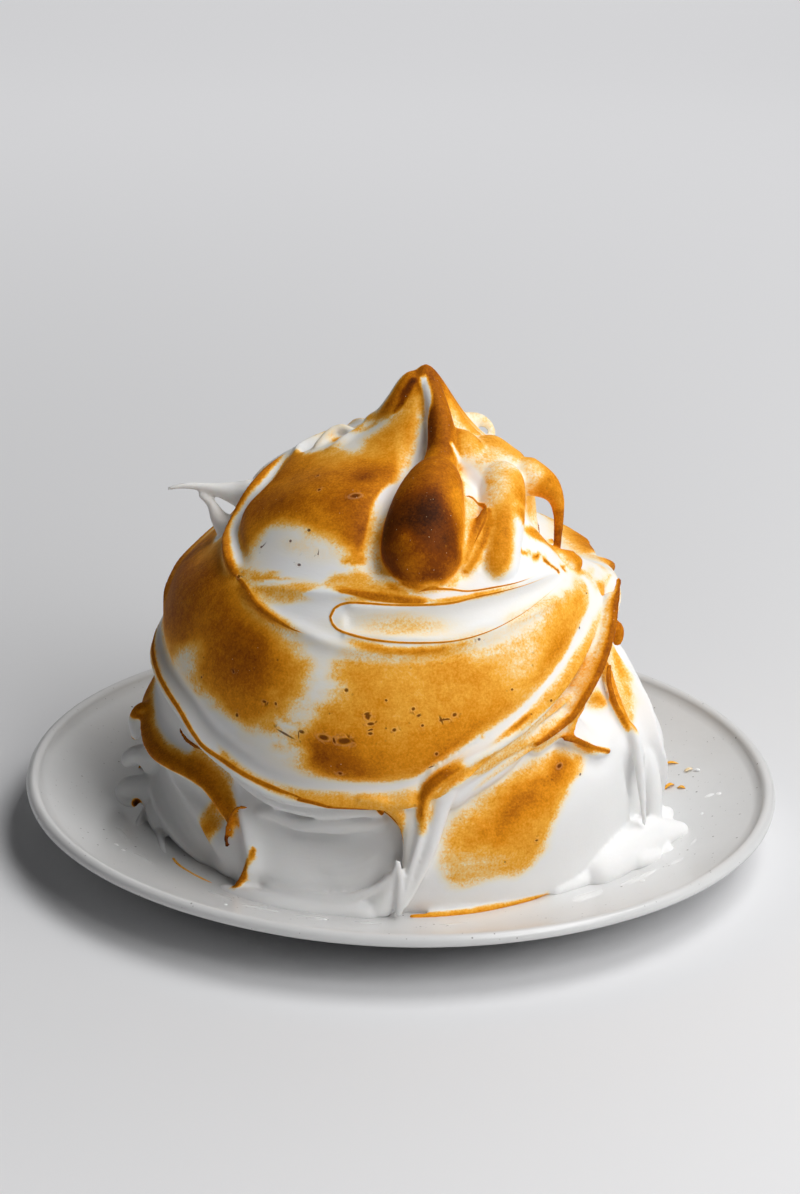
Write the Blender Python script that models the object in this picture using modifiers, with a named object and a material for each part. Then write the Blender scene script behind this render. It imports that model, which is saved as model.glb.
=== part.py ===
"""Baked alaska on its plate.

A dome of soft meringue, swirled with a spatula and pulled up into a curled peak, stands on a round
stoneware plate. The dome is one solid down to the plate. Lengths are in metres, written as millimetres
times MM, with Z up and the origin under the middle of the plate.

A place on the dome is written as (bearing, rise) in degrees, seen from the dome's centre: the bearing
is 0 at the front (-Y) and grows towards the right (+X), and the rise is 0 at the dome's widest ring.
"""

import math

import bmesh
import bpy
import numpy as np

MM = 0.001

# Plate: a coupe shape turned about Z.
PLATE_RADIUS = 135.0 * MM
PLATE_HEIGHT = 22.5 * MM
WELL_RADIUS = 84.0 * MM
WELL_TOP = 7.0 * MM
LIP_RADIUS = 2.4 * MM
FOOT_OUTER = 77.0 * MM
FOOT_INNER = 71.5 * MM
FOOT_DEPTH = 2.0 * MM
PLATE_STEPS = 64
PLATE_GAP = 0.3 * MM

# Dome: an ellipsoid above its widest ring, a straight wall below it.
DOME_RADIUS = 91.0 * MM
DOME_RISE = 98.0 * MM
RING_HEIGHT = 50.0 * MM
WALL_POWER = 8
FLANK_BEARING, FLANK_RISE = 85.0, 15.0
FLANK_SPAN, FLANK_DEPTH = (38.0, 16.0), 0.14

# Peak: pulled straight up off the top of the dome.
PEAK_HEIGHT = 25.0 * MM
PEAK_SPREAD = 13.8 * MM
PEAK_POWER = 1.7
PEAK_SHIFT = 5.0 * MM

# Mesh sizes.
DOME_SUBDIVISIONS = 7
VOXEL = 1.25 * MM
CREASE_EASE = 2
SKIN_EASE = 2
MERINGUE_TRIANGLES = 6600


def smooth_step(value):
    """0 below 0, 1 above 1, and a smooth rise between."""
    value = np.clip(value, 0.0, 1.0)
    return value * value * (3.0 - 2.0 * value)


def direction(bearing, rise):
    """Unit vectors for bearings and rises in degrees."""
    bearing, rise = np.radians(bearing), np.radians(rise)
    flat = np.cos(rise)
    return np.stack([np.sin(bearing) * flat, -np.cos(bearing) * flat, np.sin(rise)], axis=-1)


def bearing_and_rise(directions):
    """Bearings and rises in degrees of unit vectors."""
    bearing = np.degrees(np.arctan2(directions[:, 0], -directions[:, 1]))
    rise = np.degrees(np.arcsin(np.clip(directions[:, 2], -1.0, 1.0)))
    return bearing, rise


def dome_reach(directions):
    """Distance from the dome's centre to its plain surface along unit vectors."""
    level = np.hypot(directions[:, 0], directions[:, 1])
    up = directions[:, 2]
    upper = 1.0 / np.sqrt((level / DOME_RADIUS) ** 2 + (up / DOME_RISE) ** 2)
    lower = ((level / DOME_RADIUS) ** WALL_POWER + (np.abs(up) / RING_HEIGHT) ** WALL_POWER) ** (
        -1.0 / WALL_POWER
    )
    bearing, rise = bearing_and_rise(directions)
    flank = np.exp(
        -(((bearing - FLANK_BEARING) / FLANK_SPAN[0]) ** 2) - ((rise - FLANK_RISE) / FLANK_SPAN[1]) ** 2
    )
    return np.where(up > 0.0, upper, lower) * (1.0 - FLANK_DEPTH * flank)


def on_dome(directions, lift=0.0):
    """Points on the plain dome along unit vectors, lifted by a distance."""
    reach = dome_reach(directions) + lift
    return directions * np.reshape(reach, (-1, 1)) + np.array([0.0, 0.0, RING_HEIGHT])


def dome_normals(directions):
    """Outward normals of the plain dome, with the wall and the flank taken as an ellipsoid."""
    normals = directions / np.array([DOME_RADIUS, DOME_RADIUS, DOME_RISE]) ** 2
    normals[:, 2] *= np.where(directions[:, 2] > 0.0, 1.0, 0.001)
    return normals / np.linalg.norm(normals, axis=1, keepdims=True)


def smooth_line(stations, steps=14):
    """Catmull-Rom curve through rows of numbers, with the end rows kept."""
    rows = np.array(stations, float)
    rows = np.vstack([2.0 * rows[0] - rows[1], rows, 2.0 * rows[-1] - rows[-2]])
    share = np.linspace(0.0, 1.0, steps, endpoint=False)[:, None]
    pieces = []
    for a, b, c, d in zip(rows, rows[1:], rows[2:], rows[3:]):
        pieces.append(
            0.5
            * (
                2.0 * b
                + (c - a) * share
                + (2.0 * a - 5.0 * b + 4.0 * c - d) * share**2
                + (3.0 * b - a - 3.0 * c + d) * share**3
            )
        )
    return np.vstack([*pieces, rows[-2:-1]])


class Sculpt:
    """The dome's surface as it is worked. Heights are in millimetres along the plain dome's normals."""

    def __init__(self, directions):
        self.base = on_dome(directions) / MM
        self.normal = dome_normals(directions)
        self.bearing, self.rise = bearing_and_rise(directions)
        self.height = np.zeros(len(directions))
        self.slide = np.zeros_like(self.base)

    def follow(self, path):
        """Where each point lies by a path of (bearing, rise): the share of the way along, the distance
        across, positive above a path that runs left to right, and the direction across."""
        places = smooth_line(path)
        towards = direction(places[:, 0], places[:, 1])
        line = on_dome(towards) / MM
        legs = np.diff(line, axis=0)
        leg_normals = dome_normals(towards)[:-1]
        across = np.cross(leg_normals, legs)
        across /= np.linalg.norm(across, axis=1, keepdims=True)
        squared = (line**2).sum(axis=1)[None, :] - 2.0 * self.base @ line.T
        nearest = squared.argmin(axis=1)
        share = np.zeros(len(nearest))
        distance = np.full(len(nearest), np.inf)
        sideways = np.zeros_like(self.base)
        for step_back in (1, 0):
            leg = np.clip(nearest - step_back, 0, len(legs) - 1)
            gap = self.base - line[leg]
            along = np.clip((gap * legs[leg]).sum(axis=1) / (legs[leg] ** 2).sum(axis=1), 0.0, 1.0)
            gap -= legs[leg] * along[:, None]
            apart = np.linalg.norm(gap, axis=1)
            closer = apart < np.abs(distance)
            side = np.where((gap * across[leg]).sum(axis=1) < 0.0, -1.0, 1.0)
            distance = np.where(closer, apart * side, distance)
            share = np.where(closer, (leg + along) / len(legs), share)
            sideways = np.where(closer[:, None], across[leg], sideways)
        return share, distance, sideways

    @staticmethod
    def fade(share, ends):
        """Fades a mark in and out over shares of its path at its two ends."""
        return smooth_step(share / max(ends[0], 1e-6)) * smooth_step((1.0 - share) / max(ends[1], 1e-6))

    def ridge(self, path, height, width, ends=(0.2, 0.2), lean=0.0):
        """A crest, or a groove where the height is negative. A lean slides its top across."""
        share, across, side = self.follow(path)
        weight = self.fade(share, ends) * np.exp(-(np.abs(across / width) ** 1.5))
        self.height += height * weight
        self.slide += side * (lean * weight)[:, None]

    def edge(self, path, lip, drop, reach, lip_width=4.0, fall=2.5, ends=(0.15, 0.15), lean=0.0, valley=0.0):
        """A layer's edge: a raised lip above the path and a fall to a recess below it."""
        share, across, side = self.follow(path)
        below = np.maximum(-across, 0.0)
        above = np.maximum(across, 0.0)
        crest = lip * np.exp(-((above / lip_width) ** 2))
        crest -= valley * np.exp(-(((above - 2.2 * lip_width) / (1.2 * lip_width)) ** 2)) * (across > 0.0)
        floor = lip - (lip + drop) * smooth_step(below / fall)
        floor += drop * smooth_step((below - fall) / reach)
        weight = self.fade(share, ends)
        self.height += weight * np.where(across > 0.0, crest, floor)
        hang = weight * np.exp(-((across / (0.7 * lip_width)) ** 2))
        self.slide -= side * (lean * hang)[:, None]

    def scoop(self, path, depth, widths, rim=0.0, rim_width=1.6, ends=(0.1, 0.2), cover=0.6):
        """A spatula's track: a hollow with a rim, over what was there before."""
        share, across, _ = self.follow(path)
        half = np.interp(share, np.linspace(0.0, 1.0, len(widths)), widths)
        ratio = np.abs(across) / half
        weight = self.fade(share, ends)
        inside = weight * smooth_step((1.12 - ratio) / 0.25)
        self.height *= 1.0 - cover * inside
        self.height -= weight * depth * np.clip(1.0 - ratio**2, 0.0, 1.0)
        self.height += weight * rim * np.exp(-(((np.abs(across) - half) / rim_width) ** 2))

    def mound(self, centre, radii, height, turn=0.0):
        """A rounded swell, or a dip where the height is negative. Its first radius lies level when
        the turn is 0, and a turn tips that radius up to the right."""
        towards = direction(np.array([centre[0]]), np.array([centre[1]]))
        middle = on_dome(towards)[0] / MM
        normal = dome_normals(towards)[0]
        level = np.cross([0.0, 0.0, 1.0], normal)
        level /= np.linalg.norm(level)
        uphill = np.cross(normal, level)
        gap = self.base - middle
        x, y = gap @ level, gap @ uphill
        angle = math.radians(turn)
        far = np.hypot(
            (x * math.cos(angle) + y * math.sin(angle)) / radii[0],
            (y * math.cos(angle) - x * math.sin(angle)) / radii[1],
        )
        same_side = (self.normal @ normal) > 0.0
        self.height += height * np.where(same_side, np.clip(1.0 - far**2, 0.0, 1.0) ** 2, 0.0)

    def wobble(self, amount, pitch, seed):
        """Low waves all over, as no hand-spread surface is even."""
        draw = np.random.default_rng(seed)
        total = np.zeros(len(self.height))
        waves = 7
        for _ in range(waves):
            axis = draw.normal(size=3)
            axis /= np.linalg.norm(axis)
            total += np.sin(self.base @ axis * (2.0 * math.pi / pitch) + draw.uniform(0.0, 2.0 * math.pi))
        self.height += amount * total / math.sqrt(waves)

    def points(self):
        """The worked surface in metres, with the peak pulled up."""
        moved = self.base + self.normal * self.height[:, None] + self.slide
        from_axis = np.hypot(moved[:, 0] - PEAK_SHIFT / MM, moved[:, 1])
        pulled = np.exp(-((from_axis / (PEAK_SPREAD / MM)) ** PEAK_POWER))
        top = smooth_step((self.rise - 30.0) / 30.0)
        moved[:, 2] += PEAK_HEIGHT / MM * pulled * top
        return moved * MM


BELLY_RIM = [(-95, 17), (-72, 14), (-58, 9), (-49, 4), (-39, 1), (-26, -2), (-11, -1), (0, 0), (8, 3),
             (19, 10), (32, 16), (44, 23), (55, 29), (65, 36), (68, 41)]
FIN = [(2, -12), (5, -4), (10, 3), (19, 7), (31, 12), (43, 16), (56, 21), (71, 28), (84, 37)]
BELLY_TOP = [(-51, 39), (-39, 35), (-27, 33), (-16, 31), (-1, 31), (11, 32), (24, 34), (37, 37), (52, 39)]
TONGUE = [(-15.5, 36.6), (0, 36.8), (12, 37.3), (26, 39.2), (42, 41), (60, 42)]
LEDGE = [(-48, 39), (-30, 41), (-14, 42.3), (-6, 43), (6, 41.8), (20, 42), (39, 43), (55, 44)]
LOBE_EDGE = [(-112, 62), (-91, 57), (-85, 50), (-79, 46), (-64, 43), (-51, 39)]


def work_form(dome):
    """The dome's own lean: its shoulders fall away below the peak."""
    dome.mound((97, 50), (64.0, 24.0), -14.0)
    dome.mound((105, 46), (34.0, 20.0), -6.0)
    dome.mound((-95, 42), (48.0, 24.0), -6.0)
    dome.mound((180, 52), (60.0, 30.0), -5.0)


def work_front(dome):
    """The marks that show from the front, in the order they were made."""
    # Lower wall: recessed below the belly, flaring out to the foot.
    dome.edge(BELLY_RIM, lip=3.2, drop=5.5, reach=28.0, lip_width=2.6, ends=(0.1, 0.3), lean=1.6, valley=1.6)
    dome.mound((-18, -15), (30.0, 15.0), -6.5)
    dome.edge([(-45, -4), (-37, -6.5), (-22, -5), (-9, -4), (-3, -6), (0, -11)], lip=2.0, drop=2.5,
              reach=9.0, lip_width=2.4, ends=(0.2, 0.1), lean=1.2)
    dome.ridge([(-47, 3), (-41, -4), (-37, -10), (-35, -17), (-37, -23), (-41, -29)], 3.8, 2.8, ends=(0.1, 0.05))
    dome.scoop([(-84, 1), (-66, -6), (-52, -13), (-44, -23)], 4.5, [7, 12, 13, 9], rim=1.0)
    dome.ridge([(-22, -25), (-13, -22), (-6, -18.5), (-1.5, -13)], 3.2, 2.2, ends=(0.4, 0.05))
    # Left apron: a second edge under the belly's left end.
    dome.edge([(-100, 10), (-90, 7), (-77, 4), (-63, 2), (-51, -1), (-43, -4), (-38, -12)], lip=3.8, drop=3.5,
              reach=15.0, lip_width=2.6, lean=2.0, valley=1.4)
    # Drip between the niche and the right face: two crests that meet at the foot.
    dome.mound((5, -2), (14.0, 11.0), 3.0)
    dome.ridge([(-9, -3), (-3, -5), (-0.5, -11), (-0.3, -19)], 2.6, 2.0, ends=(0.3, 0.2))
    dome.ridge([(8, 1), (5, -4), (3, -11), (1.5, -20), (1, -27)], 4.6, 2.4, ends=(0.15, 0.08))
    # Fin: a tall thin crest along the belly's right end, with a trough behind it.
    dome.edge(FIN, lip=6.5, drop=4.0, reach=34.0, lip_width=2.6, fall=3.4, ends=(0.3, 0.1), lean=-0.8, valley=2.6)
    # Pockets and folds at the right.
    dome.mound((54, 9), (10.0, 11.0), -6.0, turn=60)
    dome.edge([(38, 9), (43, 6.5), (49, 3.5), (57, 1)], lip=2.6, drop=1.5, reach=8.0, lip_width=1.8, fall=1.8,
              ends=(0.25, 0.3), lean=0.8)
    dome.mound((80, -4), (13.0, 27.0), 4.0)
    dome.ridge([(88, 22), (79, 10), (74, -1), (76, -11), (79, -26)], 5.4, 2.6, ends=(0.2, 0.03))
    dome.ridge([(72, 21), (66, 11), (67, 1), (70, -10)], 4.4, 2.0, ends=(0.15, 0.25))
    dome.scoop([(98, 14), (93, 2), (91, -12), (94, -26)], 4.0, [5, 8, 10, 9], rim=1.0)
    # Fold over the belly, the ledge above it and the tongue-shaped track between them.
    dome.edge(BELLY_TOP, lip=1.4, drop=0.5, reach=10.0, lip_width=2.4, ends=(0.1, 0.5))
    dome.ridge(LEDGE, 2.0, 1.8, ends=(0.2, 0.2), lean=-0.8)
    dome.scoop(TONGUE, 1.8, [4.6, 5.2, 6.0, 5.8, 4.8, 3.0], rim=1.5, rim_width=1.3, ends=(0.0, 0.25))
    # Upper left lobe, its border and the valley inside the border.
    dome.mound((-38, 60), (36.0, 27.0), 4.0, turn=20)
    dome.edge(LOBE_EDGE, lip=2.2, drop=1.0, reach=10.0, lip_width=2.2, ends=(0.2, 0.15), lean=0.8, valley=2.0)
    # Valleys to the left and the right of the bulb, running down from the peak.
    dome.ridge([(60, 86), (12, 79), (-3, 70), (-11, 60), (-11, 51), (-6, 45)], -3.6, 3.6, ends=(0.15, 0.15))
    dome.mound((42, 66), (24.0, 15.0), 5.0, turn=-25)
    dome.ridge([(42, 79), (30, 70), (25, 62), (20, 53), (14, 46)], -3.4, 2.8, ends=(0.2, 0.15))
    # Crests and a small crater down the peak's left slope.
    dome.ridge([(-170, 86), (-100, 82), (-84, 77), (-78, 71)], 2.4, 2.0, ends=(0.1, 0.3))
    dome.scoop([(-130, 70), (-112, 68), (-98, 68)], 3.0, [4, 5, 3.5], rim=1.6, ends=(0.0, 0.0))


def work_back(dome):
    """Marks of the same kind round the sides and the back."""
    dome.edge([(98, 36), (118, 22), (140, 12), (165, 8), (190, 10), (215, 16), (240, 24), (262, 24)], lip=3.2,
              drop=5.5, reach=28.0, lip_width=2.8, ends=(0.1, 0.15), lean=1.6, valley=1.6)
    dome.edge([(80, 52), (108, 44), (135, 40), (165, 42), (195, 46), (225, 54)], lip=2.6, drop=2.5,
              reach=16.0, lip_width=2.6, lean=1.0, valley=1.4)
    dome.edge([(205, 36), (230, 34), (248, 30), (262, 26), (276, 20)], lip=2.2, drop=2.0, reach=14.0, lip_width=2.6)
    dome.scoop([(120, 28), (140, 27), (162, 28), (184, 33)], 2.4, [5, 7, 7, 4], rim=1.4, ends=(0.0, 0.2))
    dome.ridge([(150, 10), (147, -2), (149, -14), (152, -28)], 4.5, 3.0, ends=(0.15, 0.05))
    dome.ridge([(205, 13), (200, 0), (204, -14), (210, -28)], 4.0, 3.0, ends=(0.15, 0.05))
    dome.scoop([(116, 2), (128, -4), (138, -13), (144, -24)], 3.5, [5, 9, 10, 7], rim=1.0)
    dome.scoop([(160, -1), (174, -6), (188, -13), (200, -24)], 3.5, [6, 9, 10, 7], rim=1.0)
    dome.scoop([(222, 6), (236, 1), (248, -8), (254, -24)], 3.0, [6, 9, 9, 7], rim=1.0)
    dome.mound((172, 60), (26.0, 20.0), 4.0, turn=-20)
    dome.ridge([(120, 82), (140, 72), (150, 62), (152, 50)], -3.0, 3.2, ends=(0.2, 0.2))
    dome.ridge([(230, 80), (215, 70), (205, 62), (200, 52)], 2.6, 2.4, ends=(0.2, 0.3))


# Curls, lumps and splashes: each a chain of (x, y, z, radius) in millimetres.
CURLS = {
    "hood": [(4.5, 0, 168.2, 4.2), (0.5, -0.5, 164, 5), (-3, -1, 158, 5.6), (-8, 1, 150.5, 7), (-15, 4, 144, 7)],
    "mid_ridge": [(5.5, -2.5, 167.5, 3.9), (9, -9, 160.5, 3.8), (11.5, -16, 154, 4), (12, -22.5, 148.5, 4.6),
                  (9.5, -28, 143.5, 6)],
    "right_flank": [(6, 0, 168, 4), (13, -3, 158, 4.8), (20, -6, 149, 6.5), (28, -9, 142, 9)],
    "bulb": [(9, -24, 143, 5.4), (7.4, -33, 139.4, 9.6), (6.5, -42, 134.4, 12.6), (6, -50.5, 128.6, 13.6),
             (5.4, -58, 122.4, 13), (5, -63.5, 117.8, 10.8)],
    "right_lobe": [(27, -20, 141, 6), (31, -28, 138.5, 7), (33.5, -37, 133.5, 7.8), (34, -44.5, 127.5, 8),
                   (33.5, -50, 121.5, 7.2)],
    "leaf": [(17, -62, 118, 1.6), (20, -59.5, 122, 1.6), (24, -55, 128, 1.6), (26, -52, 131.5, 1.6),
             (27.5, -53, 129, 1.6), (25.5, -57, 123.5, 1.6)],
    "leaf_bed": [(21, -44, 130, 8), (21, -51, 124, 8), (20, -58, 117, 7)],
    "shoulder": [(22, -9, 143.5, 9), (30, -14, 139.5, 9.5), (36, -16, 137, 8.5), (40, -17, 136.5, 6.6)],
    "hook": [(36, -16, 139.5, 7), (42, -17, 138.3, 6), (48, -18, 135, 3.8), (51.5, -18, 130, 2.4),
             (52, -19, 122, 1.8), (51.5, -21, 115, 1.6), (50, -24, 111, 1.4)],
    "hook_foot": [(36, -38, 133, 3), (43, -39, 126.5, 3), (50, -38, 120.5, 3.2), (57, -35, 117.5, 3)],
    "hook_foot_low": [(34, -47, 120, 2), (41, -46, 117, 2), (48, -43, 114, 2)],
    "wisp": [(-52, 6, 120, 9), (-60, 8, 120.8, 5.5), (-67, 9.5, 122.4, 3), (-73, 10, 123.2, 1.8),
             (-79, 10, 123.4, 1.2), (-85, 10, 122.2, 0.8)],
    "wisp_foot": [(-61, 4, 108, 6), (-66, 6, 114, 3.4), (-68, 8, 119, 2.4)],
    "back_curl": [(14, 12, 150, 6), (21, 17, 150, 4.5), (25.5, 19, 149.5, 2.6), (29, 18, 147, 1.8),
                  (30, 16, 144, 1.5), (27, 14, 141, 1.5)],
    "blade": [(84, -22, 33, 2.6), (85, -24, 22, 2.4), (86, -27, 14, 1.6), (86.5, -29, 9, 1)],
    "splash_right": [(76, -40, 9, 6), (86, -32, 8, 7), (94, -25, 9, 6), (100, -21, 10, 4), (105, -19, 11.5, 2)],
    "splash_toe": [(90, -30, 8, 5), (97, -33, 7, 3), (101, -35, 8.5, 1.4)],
    "splash_roll": [(58, -63, 9, 5), (66, -57, 11, 6), (75, -50, 12, 6), (82, -42, 11, 6)],
    "dab_low": [(-82, -12, 10, 10), (-91, -8, 12, 7), (-97, -6, 13, 5), (-101.5, -5, 14.5, 3)],
    "dab_mid": [(-84, -8, 21, 9), (-92, -5, 22.5, 6), (-98, -4, 23, 3.6)],
    "dab_high": [(-84, -2, 33, 9), (-91, -2, 35, 6), (-95.5, -2, 38.5, 3)],
    "dab_foot": [(-78, -30, 9, 9), (-86, -26, 9, 6), (-92, -24, 9, 3.4)],
    "splash_back": [(-20, 88, 9, 6), (-4, 94, 8, 5), (12, 96, 8, 3)],
}


def new_collection(name):
    """An empty collection in the scene."""
    collection = bpy.data.collections.new(name)
    bpy.context.scene.collection.children.link(collection)
    return collection


def new_object(name, data, collection):
    """An object for some data, in a collection."""
    made = bpy.data.objects.new(name, data)
    collection.objects.link(made)
    return made


def as_guide(obj):
    """Leaves an object out of the model."""
    obj.hide_render = True
    obj.display_type = "WIRE"
    return obj


def evaluated_mesh(obj):
    """A new mesh of an object as its modifiers leave it."""
    graph = bpy.context.evaluated_depsgraph_get()
    return bpy.data.meshes.new_from_object(obj.evaluated_get(graph), depsgraph=graph)


def finish_material(name, colour, roughness):
    """A plain material with its colour and roughness."""
    material = bpy.data.materials.new(name)
    material.use_nodes = True
    shader = material.node_tree.nodes["Principled BSDF"]
    shader.inputs["Base Color"].default_value = (*colour, 1.0)
    shader.inputs["Roughness"].default_value = roughness
    shader.inputs["Metallic"].default_value = 0.0
    return material


def well_height(radius):
    """Height of the plate's upper face at a radius: flat in the well, then rising to the lip."""
    climb = PLATE_HEIGHT - LIP_RADIUS - WELL_TOP
    share = np.clip((radius - WELL_RADIUS) / (PLATE_RADIUS - 2.0 * LIP_RADIUS - WELL_RADIUS), 0.0, 1.0)
    return WELL_TOP + climb * share**1.7


def turned(name, profile, collection):
    """A solid turned about Z from a profile of (radius, height) that runs down its outer side."""
    mesh = bpy.data.meshes.new(name)
    points = [(radius, 0.0, height) for radius, height in profile]
    mesh.from_pydata(points, [(i, i + 1) for i in range(len(points) - 1)], [])
    made = new_object(name, mesh, collection)
    screw = made.modifiers.new("Turn", "SCREW")
    screw.steps = screw.render_steps = PLATE_STEPS
    screw.use_merge_vertices = True
    screw.merge_threshold = 0.00001
    screw.use_smooth_shade = True
    return made


def plate_profile():
    """From the middle of the upper face, over the lip, down the outside and under to the foot."""
    outward = np.linspace(WELL_RADIUS, PLATE_RADIUS - 2.0 * LIP_RADIUS, 8)
    profile = [(0.0, WELL_TOP)] + [(r, float(well_height(r))) for r in outward]
    lip_centre = (PLATE_RADIUS - LIP_RADIUS, PLATE_HEIGHT - LIP_RADIUS)
    for angle in np.radians([150, 115, 80, 45, 10, -25]):
        profile.append((lip_centre[0] + LIP_RADIUS * math.cos(angle), lip_centre[1] + LIP_RADIUS * math.sin(angle)))
    belly = np.linspace(0.12, 1.0, 6)
    low = FOOT_DEPTH + 0.8 * MM
    start = profile[-1]
    for share in belly:
        radius = start[0] + (FOOT_OUTER + 2.0 * MM - start[0]) * share
        profile.append((radius, low + (start[1] - low) * (1.0 - share) ** 2.0))
    foot_round = 0.5 * MM
    profile += [
        (FOOT_OUTER, foot_round),
        (FOOT_OUTER - foot_round, 0.0),
        (FOOT_INNER + foot_round, 0.0),
        (FOOT_INNER, foot_round),
        (FOOT_INNER - foot_round, FOOT_DEPTH),
        (0.0, FOOT_DEPTH),
    ]
    return profile


def gap_profile():
    """A turned block that stands up to just above the plate's upper face."""
    outward = np.linspace(WELL_RADIUS, PLATE_RADIUS - 2.0 * LIP_RADIUS, 8)
    top = [(0.0, WELL_TOP + PLATE_GAP)] + [(r, float(well_height(r)) + PLATE_GAP) for r in outward]
    depth = -20.0 * MM
    return top + [(outward[-1], depth), (0.0, depth)]


def curl(name, stations, collection):
    """A tapering round strand through (x, y, z, radius) stations, with rounded ends."""
    rows = smooth_line(stations, steps=6) * MM
    travelled = np.concatenate([[0.0], np.cumsum(np.linalg.norm(np.diff(rows[:, :3], axis=0), axis=1))])
    curve = bpy.data.curves.new(name, "CURVE")
    curve.dimensions = "3D"
    curve.bevel_depth = 1.0
    curve.bevel_resolution = 4
    curve.use_fill_caps = True
    spline = curve.splines.new("POLY")
    spline.points.add(len(rows) - 1)
    for point, row, start in zip(spline.points, rows, travelled):
        end_gap = min(start, travelled[-1] - start)
        rounding = math.sqrt(max(0.04, 1.0 - max(0.0, 1.0 - end_gap / row[3]) ** 2))
        point.co = (*row[:3], 1.0)
        point.radius = row[3] * rounding
    guide = new_object(name + "_line", curve, collection)
    mesh = evaluated_mesh(guide)
    bpy.data.objects.remove(guide)
    made = new_object(name, mesh, collection)
    return made


def worked_dome(collection):
    """The dome with every mark of the spatula on it."""
    shape = bmesh.new()
    bmesh.ops.create_icosphere(shape, subdivisions=DOME_SUBDIVISIONS, radius=1.0)
    mesh = bpy.data.meshes.new("dome")
    shape.to_mesh(mesh)
    shape.free()
    flat = np.empty(len(mesh.vertices) * 3)
    mesh.vertices.foreach_get("co", flat)
    directions = flat.reshape(-1, 3)
    directions /= np.linalg.norm(directions, axis=1, keepdims=True)
    dome = Sculpt(directions)
    dome.wobble(0.8, 70.0, seed=3)
    work_form(dome)
    work_back(dome)
    work_front(dome)
    mesh.vertices.foreach_set("co", dome.points().ravel())
    made = new_object("dome", mesh, collection)
    ease = made.modifiers.new("Ease creases", "SMOOTH")
    ease.factor = 0.5
    ease.iterations = CREASE_EASE
    eased = evaluated_mesh(made)
    made.modifiers.clear()
    made.data = eased
    return made


def joined(objects, name, collection):
    """One object that holds the meshes of several, still loose from each other."""
    shape = bmesh.new()
    for obj in objects:
        shape.from_mesh(obj.data)
        bpy.data.objects.remove(obj)
    mesh = bpy.data.meshes.new(name)
    shape.to_mesh(mesh)
    shape.free()
    return new_object(name, mesh, collection)


def meringue(parts, guides):
    """The whole meringue: dome, bulb, curls and splashes as one body that rests on the plate."""
    pieces = [worked_dome(guides)]
    pieces += [curl(name, stations, guides) for name, stations in CURLS.items()]
    body = joined(pieces, "meringue", parts)
    melt = body.modifiers.new("Melt together", "REMESH")
    melt.mode = "VOXEL"
    melt.voxel_size = VOXEL
    melt.use_smooth_shade = True
    soften = body.modifiers.new("Soften", "SMOOTH")
    soften.factor = 0.5
    soften.iterations = SKIN_EASE
    fused = evaluated_mesh(body)
    body.modifiers.clear()
    body.data = fused
    fewer = body.modifiers.new("Fewer faces", "DECIMATE")
    fewer.ratio = MERINGUE_TRIANGLES / (2.0 * len(fused.polygons))
    seat = as_guide(turned("seat", gap_profile(), guides))
    cut = body.modifiers.new("Rest on plate", "BOOLEAN")
    cut.operation = "DIFFERENCE"
    cut.object = seat
    return body


def main():
    for obj in list(bpy.data.objects):
        bpy.data.objects.remove(obj)
    parts = new_collection("baked_alaska")
    guides = new_collection("guides")
    plate = turned("plate", plate_profile(), parts)
    plate.data.materials.append(finish_material("stoneware", (0.78, 0.78, 0.77), 0.35))
    body = meringue(parts, guides)
    body.data.materials.append(finish_material("meringue", (0.93, 0.88, 0.80), 0.5))


main()
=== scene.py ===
"""Baked alaska on its plate, dressed: toasted meringue, speckled stoneware, flakes, drops and film.

Lengths are in millimetres times MM. A place on the dome is written as (bearing, rise) in degrees, seen
from the dome's centre: the bearing is 0 at the front (-Y) and grows towards the right (+X), and the rise
is 0 at the dome's widest ring.
"""

import math

import bmesh
import bpy
import numpy as np
from mathutils import Matrix, Vector


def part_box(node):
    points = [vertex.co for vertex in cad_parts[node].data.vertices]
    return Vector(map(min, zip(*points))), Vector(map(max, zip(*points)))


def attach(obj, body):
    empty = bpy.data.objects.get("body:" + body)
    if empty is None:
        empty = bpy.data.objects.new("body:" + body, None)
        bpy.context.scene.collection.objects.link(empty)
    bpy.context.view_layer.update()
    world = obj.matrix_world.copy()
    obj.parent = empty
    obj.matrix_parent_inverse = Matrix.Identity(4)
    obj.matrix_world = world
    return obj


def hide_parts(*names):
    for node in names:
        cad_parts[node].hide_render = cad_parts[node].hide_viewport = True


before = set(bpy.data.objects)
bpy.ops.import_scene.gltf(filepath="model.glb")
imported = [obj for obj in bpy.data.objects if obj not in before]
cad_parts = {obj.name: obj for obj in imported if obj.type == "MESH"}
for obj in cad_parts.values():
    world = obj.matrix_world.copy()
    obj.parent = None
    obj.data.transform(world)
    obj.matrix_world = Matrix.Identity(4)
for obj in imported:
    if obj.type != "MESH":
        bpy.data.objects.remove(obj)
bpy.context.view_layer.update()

MM = 0.001

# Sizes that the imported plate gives.
PLATE_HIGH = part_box("plate")[1]
PLATE_RADIUS = PLATE_HIGH[0]
PLATE_HEIGHT = PLATE_HIGH[2]

# The plate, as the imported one.
WELL_RADIUS = 84.0 * MM
WELL_TOP = 7.0 * MM
WELL_CURVE = 1.7
LIP_RADIUS = 2.4 * MM
LIP_ANGLES = (158, 132, 106, 80, 54, 28, 2, -24)
FOOT_OUTER = 77.0 * MM
FOOT_INNER = 71.5 * MM
FOOT_DEPTH = 2.0 * MM
FOOT_ROUNDING = 0.7 * MM
UNDERSIDE_EDGE = 0.8 * MM
MIDDLE_RADIUS = 12.0 * MM
PLATE_CORNERS = 160
OUT_OF_ROUND = 0.0022

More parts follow.
